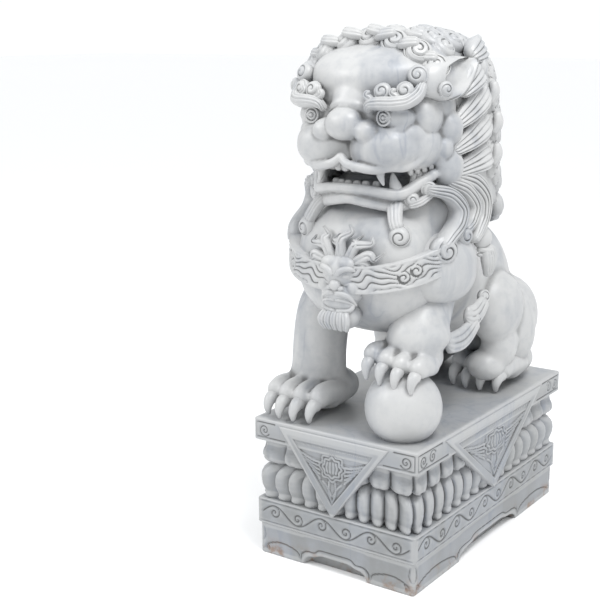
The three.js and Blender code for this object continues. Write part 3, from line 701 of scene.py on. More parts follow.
def haunches():
    # On each side the round thigh, the shank in front of it and the back of the leg, with creases between.
    return bothSides([
        lump((16.4, 15, 23.4), (6.7, 9.6, 10.2)),
        lump((13, 26, 18.5), (9.5, 12.3, 12)),
        lump((18, 24, 16.4), (5.2, 7.6, 11), (14, 0, 0)),
        lump((17.4, 15.4, 13.2), (5.0, 5.6, 7.6), (-16, 0, 0)),
        lump((15.2, 12.0, 7.6), (5.4, 5.4, 4.4)),
    ])


def hindPaws():
    instep, forms, claws = toes((12.2, 38, 0), 14.4, 4.8, 9.0, 1)
    return bothSides(instep), bothSides(forms), bothSides(claws)


def tail():
    # The stem lies up the back; combed locks fan from it to both sides and end in curls.
    stem = limb([(0, 35, 5), (0, 38.2, 17), (0, 36.8, 29), (0, 31, 40)],
                [[4.4, 3.4], [5.4, 3.8], [5, 3.6], [3.4, 3]], out=(0, 1, 0))
    locks = [lock([(x * 0.3, 37.2, 4 + 3 * k), (x * 0.8, 40.0, 11 + 6 * k), (x * 0.9, 39.0 - k, 20 + 7 * k)],
                  [[1.8, 1], [2.4, 1.3], [1.2, 0.7]], out=(x * 0.12, 1, 0), strands=3, steps=30, cols=24)
             for k in range(3) for x in (-4, 0, 4)]
    curls = [snail((0, 30.8, 41.6), 3.9, (0, 1, 0.35), 2.2, 0.6)]
    for k in range(2):
        at = (5.2, 38.0 - 2 * k, 18 + 12 * k)
        curls += bothSides([snail(at, 4.2 - 0.3 * k, (0.5, 0.85, 0.1), 2.1, 0.55, -1)])
    return [stem], locks + curls


tailStem, tailLocks = tail()
stonePiece("body", masses=[barrel(), lump((0, -12.6, 52.4), (20.8, 18, 13)), *tailStem],
           soft=haunches(), crisp=tailLocks, voxel=body["voxel"], rounds=9)
hindInstep, hindSoft, hindClaws = hindPaws()
leftLeg, leftSoft, leftClaws = liftedLeg()
rightLeg, rightSoft, rightClaws = plantedLeg()
tufts = bothSides(flameTuft((20.4, -12, 27), (21.5, -2.8, 30.2))
                  + flameTuft((19.6, -20.4, 21.4), (21.5, -7.4, 25.4), 1.06))
stonePiece("legs", masses=leftLeg + rightLeg + hindInstep, soft=leftSoft + rightSoft + hindSoft,
           crisp=leftClaws + rightClaws + hindClaws + tufts + shoulders(), voxel=body["legVoxel"], rounds=7)
print("body carved")

ball = {"at": (14.71, -32.41, 7.356), "radius": 9.655}


def ballSkin():
    return lump(ball["at"], [ball["radius"]] * 3, rows=56, cols=100)


stonePiece("ball", crisp=[ballSkin()])

# Head and face, in shares.
head = {
    # height, middle y, half width and half depth of the skull
    "skull": [(61, -13, 13, 8), (65, -15, 15, 11), (69, -19, 16.6, 15), (79, -19, 17.2, 14.6),
              (82.6, -18.6, 17, 15), (85.2, -18, 17.6, 18), (89.5, -18, 17.4, 17.4), (93, -16.8, 15, 14.4),
              (95.4, -14, 11, 10), (96.8, -12, 6, 5)],
    "voxel": 0.0034,
}


def skull():
    ovals = np.array(head["skull"])
    middles = np.column_stack([0 * ovals[:, 0], ovals[:, 1], ovals[:, 0]])
    return stack(middles, ovals[:, 2:], [(1, 0, 0), (0, 1, 0)], [(0, -13, 60), (0, -11, 97.2)], boxy=0.9)


def nose():
    # The ball of the nose with its wings.
    return [lump((0, -36.6, 76.6), (4.8, 4.4, 4.0), boxy=0.9)] + bothSides([
        lump((5.8, -36.5, 75.0), (3.1, 3.3, 2.8), (0, 10, 0))])


def muzzle():
    # Two full upper lips that part below the nose, and the palate behind them.
    return [lump((0, -23, 70.4), (13, 11.5, 4.2))] + bothSides([
        lump((7.9, -29.4, 70.9), (8.8, 9.3, 6.2), (0, -5, -5), 40, 56, 0.86),
        lump((12.8, -25.8, 71.4), (6.0, 8.2, 6.2), (0, 0, -24)),
    ])


def eyeAndLids():
    eye = lump((10.8, -31.7, 78.2), (5.0, 4.4, 3.2))
    upper = limb([(5.8, -33.6, 78.8), (8.0, -35.7, 80.7), (10.8, -36.2, 81.1), (13.6, -34.3, 80.5),
                  (15.6, -31.4, 79)],
                 [[0.45, 0.5], [0.7, 0.7], [0.8, 0.8], [0.7, 0.7], [0.4, 0.4]], out=(0, -1, 0))
    lower = limb([(5.8, -33.8, 78.6), (7.8, -35.4, 76.4), (10.8, -35.8, 75.2), (13.8, -33.8, 76.0),
                  (15.8, -31.0, 78.6)],
                 [[0.4, 0.4], [0.6, 0.65], [0.65, 0.7], [0.6, 0.65], [0.4, 0.4]], out=(0, -1, 0))
    # over the nose a fold runs from one eye's inner corner to the other's
    fold = across([(0, -37.0, 81.5), (2.6, -36.8, 81.3), (4.8, -35.4, 80.0), (6.2, -33.8, 78.4)],
                  [[0.8, 0.7], [0.8, 0.7], [0.7, 0.6], [0.5, 0.4]], (0, -1, 0), 50, 14)
    return bothSides([eye, upper, lower]) + [fold]


def iris():
    # A raised ring, a smaller one in it and the pupil as a small dome.
    a = np.linspace(0, 2 * pi, 40)
    forms = []
    for size in (1.8, 0.95):
        ring = np.column_stack([10.2 + size * np.cos(a), -36.1 + 0.3 * np.cos(a) ** 2, 78.3 + size * np.sin(a)])
        forms.append(limb(ring, [[0.28, 0.3]] * 2, out=(0, -1, 0.1), steps=40, cols=8))
    return bothSides(forms + [lump((10.2, -36.0, 78.3), (0.5, 0.5, 0.5), rows=10, cols=14)])


def eyebrow():
    # A ribbed lock from the bridge out over the eye and up, with curls standing on it and one at its outer end.
    fold = lock([(6.2, -35.4, 79.8), (7.4, -36.8, 81.2), (10.0, -37.0, 81.6), (13.0, -36.0, 81.6),
                 (15.4, -33.8, 82.0), (16.8, -31.2, 83.6), (17.3, -29.4, 86.4)],
                [[0.7, 1.0], [1.3, 1.7], [1.6, 2.0], [1.7, 2.0], [1.7, 2.0], [1.6, 1.8], [1.0, 1.3]],
                out=(0.2, -1, 0.3), strands=4, depth=0.3, cols=34)
    wisps = [lock([(x + 0.6, y, z), (x - 1.0, y - 0.3, z + 1.4), (x - 0.4, y - 0.2, z + 2.6)],
                  [[0.9, 0.9], [0.9, 0.9], [0.5, 0.6]], out=(0, -1, 0.2), strands=2, steps=18, cols=18)
             for x, y, z in ((7.4, -36.8, 82.0), (13.4, -35.2, 82.6))]
    return bothSides([fold, *wisps,
                      snail((9.8, -36.0, 84.4), 2.2, (0.1, -1, 0.3), 1.7, 0.5, -1, 0.1, 1, 14, 26),
                      snail((14.6, -33.8, 84.6), 2.2, (0.3, -1, 0.3), 1.7, 0.5, -1, 0.4, 1, 14, 26),
                      snail((16.2, -30.6, 88.0), 2.5, (0.4, -1, 0.3), 1.8, 0.55, -1, 0.6, 1, 16, 30)])


def bridge():
    # From the forehead the broad bridge runs down to the nose, and the face slopes from the eyes to the lips.
    return [limb([(0, -30, 88), (0, -33.4, 82.5), (0, -35, 77.6)], [[6.5, 4], [5.4, 3.8], [4.2, 3.8]],
                 out=(0, -1, 0)),
            lump((0, -28.6, 83.0), (10.5, 7.4, 7.2))] + bothSides([
                limb([(3.6, -32.0, 81.6), (5.2, -32.4, 78.0), (7.4, -31.6, 74.0)],
                     [[3.0, 3.0], [3.6, 3.4], [4.4, 4.0]], out=(0, -1, 0)),
                lump((9.4, -29.2, 74.0), (8.0, 6.0, 4.6)), lump((15.4, -19.6, 80), (4.4, 5.6, 5.6)),
            ])


def cheekFolds():
    # Round swellings from the brow's end down behind the mouth.
    return bothSides([
        lump((14.8, -25.0, 78.2), (4.6, 5.0, 5.4)), lump((17.9, -19.0, 75.0), (4.0, 4.0, 4.6)),
        lump((18.4, -21.8, 70.6), (2.6, 2.7, 2.8)), lump((18.2, -18.4, 65.6), (3.6, 4.4, 5.2)),
    ])


def across(half, sizes, out, steps, cols):
    # A limb that runs over the middle plane: the half path's mirror image leads into it.
    half, sizes = np.array(half, float), np.array(sizes, float)
    return limb(np.vstack([half[:0:-1] * [-1, 1, 1], half]), np.vstack([sizes[:0:-1], sizes]), out, steps, cols)


def mouth():
    # One fleshy rim runs from the middle of the upper lip, in waves, back round the
    # corner and forward on the lower lip. Below it are a hollow band and the jaw's edge.
    upper = [(0, -38.4, 69.0), (1.2, -38.9, 67.9), (3.2, -38.9, 67.0), (8.0, -36.9, 66.0), (11.2, -34.3, 66.7),
             (13.4, -32.4, 66.5), (15.0, -30.0, 67.4), (16.4, -27.6, 69.3), (17.4, -24.6, 69.9),
             (18.2, -22.4, 68.4), (18.0, -22.2, 65.6)]
    lower = [(0, -35.4, 61.1), (5, -34.8, 60.9), (8.4, -33.4, 60.3), (11.1, -31.2, 59.8), (12.8, -29.0, 60.4),
             (14.2, -26.6, 61.9), (16.0, -24.2, 63.3), (17.6, -22.6, 65.0)]
    jawEdge = [(0, -35.0, 58.2), (5, -34.0, 57.4), (9.4, -31.0, 56.5), (12.0, -28.2, 56.8), (14.0, -25.4, 58.6),
               (16.4, -20, 61.4)]
    band = [(0, -33.8, 59.6), (5, -32.9, 59.0), (9.6, -30.0, 58.2), (12.6, -26.8, 59), (15.4, -22.4, 61.4)]
    return [
        across(upper, [[1.0, 1.2], [1.0, 1.2], [1.1, 1.4], [1.1, 1.5], [1.2, 1.5], [1.2, 1.5], [1.3, 1.5],
                       [1.5, 1.5], [1.5, 1.4], [1.4, 1.3], [1.3, 1.2]], (0, -1, 0.3), 130, 16),
        across(lower, [[1.2, 1.2], [1.2, 1.2], [1.3, 1.3], [1.4, 1.4], [1.5, 1.4], [1.5, 1.4], [1.4, 1.3],
                       [1.3, 1.2]],
               (0, -1, 0.3), 100, 16),
        across(jawEdge, [[1.0, 1.1], [1.0, 1.1], [1.1, 1.2], [1.15, 1.2], [1.1, 1.1], [0.9, 0.9]], (0, 0, -1),
               80, 14),
        across(band, [[1.5, 1.8]] * 5, (0, 0, 1), 80, 16),
    ]


def jaw():
    return [lump((0, -19.2, 59.2), (13.0, 13.4, 2.5)), lump((0, -13, 61), (13, 8, 6)),
            lump((0, -21, 60.4), (6.5, 10, 1.8))]


def teeth():
    # Short front teeth set back behind both lips, slanting side teeth, and two long fangs on each side.
    forms = []
    for x, y in ((1.2, -34.6), (3.5, -34.1), (5.8, -33.0)):
        forms.append(lump((x, y, 66.4), (1.05, 0.8, 1.5), rows=10, cols=14, boxy=0.75))
        forms.append(lump((x, y + 1.4, 61.8), (1.05, 0.7, 1.0), rows=10, cols=14, boxy=0.75))
    for k in range(4):
        t = k / 3
        above = (12.6 + 3.2 * t, -27.4 + 4.4 * t, 65.8 + 0.9 * t)
        below = (12.8 + 2.6 * t, -26.0 + 3.6 * t, 63.2 + 0.9 * t)
        forms.append(lump(above, (0.8, 1.1, 2.0), (22, 0, 30), 10, 14, 0.75))
        forms.append(lump(below, (0.8, 1.0, 1.7), (-22, 0, 30), 10, 14, 0.75))
    forms.append(limb([(8.4, -33.8, 67.2), (8.5, -34.2, 64.6), (9.2, -33.8, 62.0)],
                      [[1.3, 1.3], [1.0, 1.0], [0.25, 0.25]], out=(0, -1, 0), steps=20, cols=16))
    forms.append(limb([(10.8, -29.8, 59.8), (10.4, -30.8, 62.2), (9.8, -30.9, 65.0)],
                      [[1.7, 1.6], [1.4, 1.3], [0.3, 0.3]], out=(0, -1, 0), steps=20, cols=16))
    return bothSides(forms)


def beard():
    # From the jaw a combed lock hangs to a curl on the chest; beside it small curls under the mouth's corner.
    return bothSides([
        lock([(10.0, -29.4, 57.4), (11.0, -31.4, 55.6), (12.1, -32.8, 53.2), (13.2, -33.2, 51.2)],
             [[2.2, 1.2], [2.0, 1.5], [1.8, 1.5], [1.7, 1.4]], out=(0.35, -1, 0), strands=4, depth=0.28,
             steps=30, cols=28),
        snail((13.6, -33.4, 50.0), 2.8, (0.4, -1, -0.05), 1.9, 0.6, 1, 0.5, 1, 18, 32),
        snail((13.8, -28.4, 58.4), 1.9, (0.7, -1, 0), 1.6, 0.6, -1, 0.2, 1, 14, 26),
        snail((16.8, -25.4, 60.8), 2.0, (0.8, -1, 0), 1.6, 0.6, 1, 0.2, 1, 14, 26),
        lock([(13.0, -29, 56.9), (15.4, -27, 57.8), (17.6, -24.4, 60)], [[0.9, 0.8], [1.1, 0.9], [0.8, 0.7]],
             out=(0.7, -1, 0), strands=3, steps=24, cols=22),
    ])


def ear():
    # A leaf that faces outwards, between its front and back edges: u runs from
    # front to back, v from the root to the tip. A swelling lobe fills the front
    # and ends at a sharp fold; behind it the hollow rises again to a thin rim.
    v = np.linspace(0, 1, 44)[:, None]
    u = np.linspace(0, 1, 34)[None]
    fore = curveThrough([(-25.6, 82.2), (-29.4, 83.8), (-30, 87), (-27.6, 90.4), (-21.6, 91.8), (-15.6, 92.2),
                         (-11, 91.7)], 44)[:, None]
    rear = curveThrough([(-24.6, 82), (-20, 83), (-16.4, 84.8), (-13.8, 87), (-12.2, 89), (-11.2, 90.6),
                         (-10.8, 91.6)], 44)[:, None]
    flat = fore * (1 - u[..., None]) + rear * u[..., None]
    tall = np.sin(pi * v**0.8).clip(0) ** 0.5
    fold = np.interp(v, [0, 0.15, 0.3, 0.5, 0.7, 1], [0.74, 0.52, 0.36, 0.27, 0.25, 0.36])
    lobe = 2.2 * np.sin(np.clip(u / fold, 0, 1) * 2.1) ** 0.7
    hollow = -1.7 + 2.2 * ((u - fold) / (1 - fold)).clip(0) ** 3
    x = 17.4 + 4.4 * u + np.where(u < fold, lobe, hollow) * tall
    front = np.stack([x, flat[..., 0], flat[..., 1]], -1)
    back = np.stack([x * 0 + 15.0, flat[..., 0] * 0.94 - 1.2, flat[..., 1] * 0.98 + 1.4], -1)
    return bothSides([capped(front, back),
                      snail((21.6, -26.8, 84.8), 1.9, (0.9, -0.5, 0), 1.7, 0.6, 1, 0.3, 1, 16, 28)])


stonePiece("head", masses=[skull()] + bridge() + jaw() + muzzle(),
           soft=nose() + cheekFolds() + eyeAndLids() + mouth(),
           crisp=iris() + eyebrow() + teeth() + beard() + ear(), voxel=head["voxel"], rounds=5)
print("head carved")

# The mane, in shares.
mane = {
    "pole": (20, -13, 73),
    # y and z of the outline over the crown and down the nape
    "outline": [(-21, 97.4), (-14, 98.6), (-2, 98.3), (12, 94.2), (18.6, 83.6), (20.4, 70), (21.6, 57),
                (25, 46)],
    "boxiness": 2.9,
    # centre lines of the side locks, front to back; each lies over
    # the one below and ends in a lip that turns out
    "waves": [[(19.0, -10, 91.4), (19.0, -7.6, 92.6), (18.0, -4, 93.8), (16, -1, 94.2)],
              [(20.0, -17, 83.0), (20.6, -13.4, 85.8), (20.2, -9.6, 88.0), (17.6, -4.4, 89.6)],
              [(19.6, -19.4, 75.4), (20.4, -13, 78.9), (20.2, -6.6, 82.4), (17.2, 1.6, 85.0)],
              [(19.8, -19.4, 69.6), (20.5, -12.6, 72.2), (20.3, -5.6, 75.0), (17.2, 4.0, 76.8)],
              [(19.8, -18.8, 64.4), (20.6, -11, 66.0), (20.4, -4.4, 67.2), (17.2, 4.6, 67.6)]],
    "knobs": [(20.0, -6.6, 88.6), (20.4, -0.4, 82.8), (20.4, 2.2, 75.0), (20.2, 2.8, 67.0)],
    "ground": (0.95, 0.955, 0.965),  # how far the ground is drawn in under the curls
    "curlRows": 11, "curlRadius": 3.6, "curlRise": 0.46,
}


def maneSpot(angle, t):
    # The hair's ground: from the outline's point at t, sideways by
    # the angle, a superellipse down to the pole at the cheek.
    outline = curveThrough(mane["outline"], 400)
    run = runAlong(outline)
    y = np.interp(t, run / run[-1], outline[:, 0])
    z = np.interp(t, run / run[-1], outline[:, 1])
    a = np.radians(angle)
    px, py, pz = mane["pole"]
    spread = bent(np.cos(a), 2 / mane["boxiness"])
    aside = px * bent(np.sin(a), 2 / mane["boxiness"])
    return np.stack(np.broadcast_arrays(aside, py + (y - py) * spread, pz + (z - pz) * spread), -1)


def maneGround():
    # Rings of the ground from one cheek to the other, drawn in a little so that the curls stand on it.
    angle = np.linspace(-86, 86, 60)
    t = np.linspace(0, 1, 80)
    grid = maneSpot(angle[:, None], t[None])
    pole = np.array(mane["pole"])
    close = np.array([[14, -28], [3, -22], [1, -12], [0, 4]])
    spread = bent(np.cos(np.radians(angle)), 2 / mane["boxiness"])
    extra = np.stack([np.column_stack([grid[:, 0, 0], pole[1] + y * spread, pole[2] + z * spread])
                      for y, z in close], 1)
    full = np.concatenate([grid, extra], 1)
    middle = np.array([0, pole[1], pole[2]])
    full = middle + (full - middle) * mane["ground"]
    return closedSkin(full, (pole * [-0.97, 1, 1], pole * [0.97, 1, 1]))


def standing(angle, t):
    # A spot on the hair's ground and the direction straight out of it, from the steps beside it.
    spot = maneSpot(angle, t)
    tip = np.cross(maneSpot(angle + 1.0, t) - maneSpot(angle - 1.0, t),
                   maneSpot(angle, t + 0.01) - maneSpot(angle, t - 0.01))
    tip = unitLong(tip)
    if np.dot(tip, spot - np.array([0, -4, 72])) < 0:
        tip = -tip
    return spot, tip


def crownCurls():
    # Snail curls in staggered rows over the crown and down the nape, each overlapping its neighbours.
    forms = []
    for k, t in enumerate(np.linspace(0.08, 0.97, mane["curlRows"])):
        angles = np.array((-32, -19.5, -6.6, 6.6, 19.5, 32) if k % 2 else (-38, -26, -13, 0, 13, 26, 38))
        if 0.3 < t < 0.92:
            wide = (45, 57, 67) if k % 2 else (51, 62, 71)
            angles = np.concatenate([angles, wide, np.negative(wide)])
        for n, angle in enumerate(angles):
            spot, out = standing(angle, t)
            hand = 1 if angle >= 0 else -1
            forms.append(snail(spot - 0.7 * out, mane["curlRadius"], out, 2.2, mane["curlRise"], hand,
                               0.25 * (k + n), 2, 12, 24))
    return forms


def hairline():
    # Over the forehead a row of curls turned to the front, each with
    # a combed lock that rises from its neighbour.
    forms = []
    for x, y, z in ((-17.4, -24.0, 90.6), (-13.6, -25.0, 93.8), (-7.6, -24.6, 95.8), (-0.8, -24.0, 96.6),
                    (6.4, -24.8, 95.6), (13.4, -25.8, 93.4), (17.6, -24.4, 90)):
        side = 1 if x > 0 else -1
        out = np.array([x / 20, -0.8, 0.75])
        forms.append(snail((x, y, z), 3.5, out, 2.5, 0.5, side, 0.1 * x, 2, 18, 34))
        forms.append(lock([(x - side * 5.4, y + 0.8, z + 0.2 + 0.03 * abs(x)),
                           (x - side * 2.8, y - 0.8, z + 1.3 + 0.03 * abs(x)),
                           (x + side * 0.6, y - 0.4, z + 2.0)], [[0.9, 0.8], [1.6, 1.2], [1.3, 1]], out=out,
                           strands=3,
                          steps=24, cols=26))
    return forms


def sideBands():
    # Wide combed locks sweep back from the cheek like waves, one over the next: low at the top, and
    # at the bottom a lip that stands out. Above the end of each lip a combed knob closes the row.
    forms = []
    for path in mane["waves"]:
        forms.append(lock(path, [[1.5, 1.3], [2.7, 2.9], [3.4, 3.3], [2.0, 1.0]], out=(1, -0.1, -0.1),
                          strands=5, depth=0.5, steps=36, cols=50, lip=0.9, under=1.0))
    for x, y, z in mane["knobs"]:
        forms.append(lock([(x - 0.4, y + 0.4, z + 3.0), (x + 0.2, y + 0.2, z), (x - 0.2, y - 1.4, z - 3.0)],
                          [[1.1, 1.0], [1.7, 1.4], [0.8, 0.8]], out=(1, 0.3, 0), strands=3, depth=0.4, steps=24,
                          cols=30))
    return bothSides(forms)


def longLocks():
    # Three combed locks fall from under the cheek in S curves to the collar; two end in curls.
    first = [(16.5, -26.6, 61), (20.0, -21.6, 59.4), (21.6, -18.6, 55.8), (22, -20, 52.2), (22, -24.6, 49.4),
             (21.8, -28, 47.2)]
    second = [(18.6, -20.4, 62.4), (20.8, -15, 60), (21.6, -11.4, 55.8), (21.8, -13, 52), (22.2, -17.4, 50)]
    third = [(19, -19, 64), (20.8, -11.2, 61.4), (21.4, -6.6, 57.2), (21.7, -6.8, 52.4), (22.2, -10.2, 49),
             (22.6, -13.6, 46.8)]
    return bothSides([
        lock(first, [[1.2, 1.2], [1.8, 1.6], [2.1, 1.8], [2.1, 1.8], [1.9, 1.7], [1.4, 1.4]], out=(1, -0.15, 0),
             strands=4, depth=0.48, steps=56, cols=40, under=1.8),
        lock(second, [[1.4, 1.2], [2.0, 1.5], [2.1, 1.7], [1.9, 1.5], [1.4, 1.3]], out=(1, -0.1, 0), strands=4,
             depth=0.48, steps=50, cols=40, under=1.8),
        lock(third, [[1.7, 1.4], [2.8, 1.8], [2.9, 2.0], [2.5, 1.8], [1.9, 1.5], [1.0, 1.1]], out=(1, -0.05, 0),
             strands=5, depth=0.5, steps=56, cols=48, under=2),
        snail((22.1, -26.4, 46.4), 3.7, (1, -0.55, 0), 2.2, 0.55, -1, 0.2, 2, 20, 36),
        snail((22.4, -17.2, 48.9), 2.9, (1, -0.2, 0), 2.0, 0.55, -1, 0.5, 2, 18, 32),
    ])


stonePiece("mane", crisp=[maneGround()] + crownCurls() + hairline() + sideBands() + longLocks())
print("mane carved")

# Collar, mask and tassels, in shares.
collar = {"reach": 66, "halfHeight": 3.4, "thick": 1.2}


def collarPath(degrees):
    # A flattened round about the chest that rises towards the shoulders.
    a = np.radians(degrees)
    x, y = 24 * bent(np.sin(a), 0.85), -14 - 25 * bent(np.cos(a), 0.85)
    return np.stack([x, y, 39.4 + 9 * (1 - np.cos(a))], -1)


def collarBand():
    # Along it the angle, up it v from -1 to 1: rims at both edges, and between them
    # flames, drawn as lines that bend together and part again, with a spiral on each side.
    degrees = np.linspace(-collar["reach"], collar["reach"], 280)
    v = np.linspace(-1, 1, 30)
    middle = collarPath(degrees)
    along = unitLong(np.gradient(middle, axis=0))
    out = unitLong(np.cross(along, [0, 0, 1]))
    up = np.cross(out, along)
    s = runAlong(middle)
    s = (s - s[-1] / 2)[:, None]
    w = v[None]
    rim = np.clip((np.abs(w) - 0.8) / 0.06, 0, 1)
    away = np.abs(s)
    flow = w * 3.4 * (1 + 0.25 * np.sin(away * 0.55))
    flow = flow + 0.8 * np.sin(away * 0.5 + 0.6 * w) + 0.3 * np.sin(away * 1.3 + 2 * w)
    flame = np.abs(np.sin(flow * 2.1)) ** 0.6
    for at, tall in ((-19.6, 0.3), (-16.4, -0.5), (16.4, -0.5), (19.6, 0.3)):
        spots = spiral((at, tall), 1.3, 1.3, 0.4, np.sign(at), 60)
        near = ridge(strokeGap(s + 0 * w, 3.4 * w + 0 * s, [spots]), 0.4)
        inside = np.hypot(s - at, 3.4 * w - tall) < 1.6
        flame = np.where(inside, 1.2 * near, flame)
    high = collar["thick"] * 0.7 + 0.5 * rim + 0.55 * flame * (1 - rim) - 0.1
    spot = middle[:, None] + collar["halfHeight"] * w[..., None] * up[:, None]
    return capped(spot + high[..., None] * out[:, None], spot - 1.8 * out[:, None])


def chestMask():
    # A small face hung on the collar: skull, wide nose, cheeks, open lips and a
    # round combed beard, with flames of hair that rise and bend apart from its brow.
    soft = [lump((0, -37.8, 41), (5.4, 3.6, 4.6)), lump((0, -37.8, 35.6), (5.6, 3.6, 3.4)),
            lump((0, -37.4, 29.8), (5.0, 3.9, 3.6)), lump((0, -38.8, 33.2), (4.6, 2.2, 2.2))]
    soft += bothSides([lump((4.2, -38.9, 37.4), (1.9, 1.7, 1.8)), lump((2.2, -39.6, 43.2), (2.6, 1.6, 1.8))])
    crisp = [lump((0, -41.0, 38.0), (1.5, 1.2, 1.4), rows=14, cols=20),
             lump((0, -39.9, 32.6), (3.4, 0.9, 0.5), rows=12, cols=20)]
    crisp += bothSides([
        lump((1.5, -40.8, 37.2), (0.9, 0.8, 0.7), rows=10, cols=16),
        lump((2.5, -40.2, 40.3), (1.25, 0.9, 0.8), rows=12, cols=18),
        limb([(0.5, -41.2, 40.2), (1.6, -41.3, 41.6), (3.6, -40.7, 42.3), (5.2, -39.4, 41.6)],
             [[0.5, 0.5], [0.75, 0.7], [0.7, 0.7], [0.3, 0.3]], out=(0, -1, 0), steps=22, cols=12),
        limb([(0.0, -41.0, 35.9), (1.8, -41.1, 36.0), (3.8, -40.0, 35.0), (5.0, -38.6, 32.8)],
             [[0.6, 0.6], [0.7, 0.7], [0.65, 0.65], [0.3, 0.3]], out=(0, -1, 0), steps=22, cols=12),
        limb([(0.0, -40.9, 34.2), (2.2, -40.7, 34.3), (4.2, -39.3, 33.2), (3.4, -40.0, 31.7),
              (0.0, -40.9, 31.4)],
             [[0.45, 0.45], [0.5, 0.5], [0.5, 0.5], [0.6, 0.6], [0.6, 0.6]], out=(0, -1, 0), steps=30, cols=12),
    ])
    beard = [lock([(x * 0.8, -40.6, 31.4), (x, -41.3, 29.2), (x * 0.8, -40.2, 26.6)],
                  [[0.9, 0.6], [1.1, 0.8], [0.7, 0.5]], strands=2, steps=20, cols=20)
             for x in (-3.6, -1.8, 0, 1.8, 3.6)]
    crest = []
    for x, z, lean in ((-10, 44.6, -1), (-8.4, 49.2, 1), (-5.4, 51.6, -1), (-1.4, 50.2, 1), (2.2, 52.6, -1),
                       (5.4, 50.4, 1), (8.6, 50.2, -1), (11.4, 46.6, 1)):
        crest.append(lock([(x * 0.3, -38, 43.2), (x * 0.62 + lean, -38.5, 0.5 * z + 22.4),
                           (x * 0.9 - 0.8 * lean, -37.6, z - 1.8), (x + 0.5 * lean, -37, z)],
                           [[1.4, 1.3], [1.25, 1.1], [0.65, 0.7], [0.15, 0.3]], strands=2, depth=0.3,
                          steps=30, cols=22))
    ears = bothSides([lock([(5, -38, 42.4), (7, -38.4, 43.4), (8.4, -38, 42.4)],
                           [[1.2, 0.9], [1.3, 0.9], [0.4, 0.4]], strands=2, steps=20, cols=20)])
    return soft, crisp + beard + crest + ears


def tassels():
    # A knob, a tied band and a combed skirt that ends in a point.
    return bothSides([
        lump((21.4, -5.2, 46.4), (2.2, 3.4, 2.8)),
        lock([(21.8, -4.4, 44.6), (22.2, -3.6, 40.6), (21.8, -3.0, 36.0)], [[2.4, 1.6], [3.0, 1.9], [1.2, 0.9]],
             out=(1, 0, 0), strands=6, depth=0.34, steps=34, cols=44),
        limb([(21.0, -7.6, 43.8), (23.6, -4.6, 43.3), (21.6, -1.6, 43.9)], [[0.7, 0.6]] * 3, out=(1, 0, 0),
             steps=20, cols=12),
        limb([(21.0, -7.4, 42.4), (23.8, -4.5, 41.9), (21.6, -1.6, 42.5)], [[0.5, 0.45]] * 3, out=(1, 0, 0),
             steps=20, cols=12),
    ])


maskSoft, maskCrisp = chestMask()
stonePiece("collar", soft=maskSoft, crisp=maskCrisp + [collarBand()] + tassels(), voxel=0.002)
print("collar and mask carved")


def nodeOf(owner, kind):
    # The node of a kind that Blender put into a new material's or world's tree.
    owner.use_nodes = True
    return next(node for node in owner.node_tree.nodes if node.type == kind)


class Wire:
    # One socket of a node tree, so that the marble's shader maths reads as ordinary sums.
    def __init__(self, tree, socket):
        self.tree, self.socket = tree, socket

    def node(self, kind, settings=None, inputs=None, output=0):
        # Any node: its settings first, then the values or links of its sockets, then the socket that is read.
        made = self.tree.nodes.new(kind)
        for key, value in (settings or {}).items():
            setattr(made, key, value)
        for key, value in (inputs or {}).items():
            if isinstance(value, Wire):
                self.tree.links.new(value.socket, made.inputs[key])
            else:
                made.inputs[key].default_value = value
        return Wire(self.tree, made.outputs[output])

    def maths(self, operation, *values):
        return self.node("ShaderNodeMath", {"operation": operation}, dict(enumerate(values)))

    def __add__(self, other):
        return self.maths("ADD", self, other)

    def __sub__(self, other):
        return self.maths("SUBTRACT", self, other)

    def __rsub__(self, other):
        return self.maths("SUBTRACT", other, self)

    def __mul__(self, other):
        return self.maths("MULTIPLY", self, other)

    __radd__, __rmul__ = __add__, __mul__

    def between(self, low, high):
        # 0 below low, 1 above high, a smooth step between.
        return self.node("ShaderNodeMapRange", {"interpolation_type": "SMOOTHSTEP"},
                         {"Value": self, "From Min": low, "From Max": high})

    def noise(self, scale, detail=4.0, roughness=0.55, distortion=0.0):
        return self.node("ShaderNodeTexNoise", None, {"Vector": self, "Scale": scale, "Detail": detail,
                                                       "Roughness": roughness, "Distortion": distortion})

    def stretched(self, scale):
        return self.node("ShaderNodeMapping", None, {"Vector": self, "Scale": scale})

    def towards(self, colour, amount):
        # This colour mixed with another by an amount.
        return self.node("ShaderNodeMix", {"data_type": "RGBA"}, {0: amount, 6: self, 7: colour}, 2)


marble = {
    "pale": (0.45, 0.453, 0.452, 1), "cloud": (0.275, 0.29, 0.315, 1), "vein": (0.18, 0.205, 0.25, 1),
    "shadeAndDust": (0.07, 0.07, 0.068, 1), "stain": (0.20, 0.11, 0.06, 1), "plinth": (0.17, 0.178, 0.182, 1),
    "roughness": 0.34,
    # how strongly each colour is laid over the pale stone
    "plinthShare": 0.82, "cloudShare": 0.7, "veinShare": 0.4, "shadeAndDustShare": 0.74, "highlightAndWearShare": 0.45,
    "stainShare": 0.7,
}


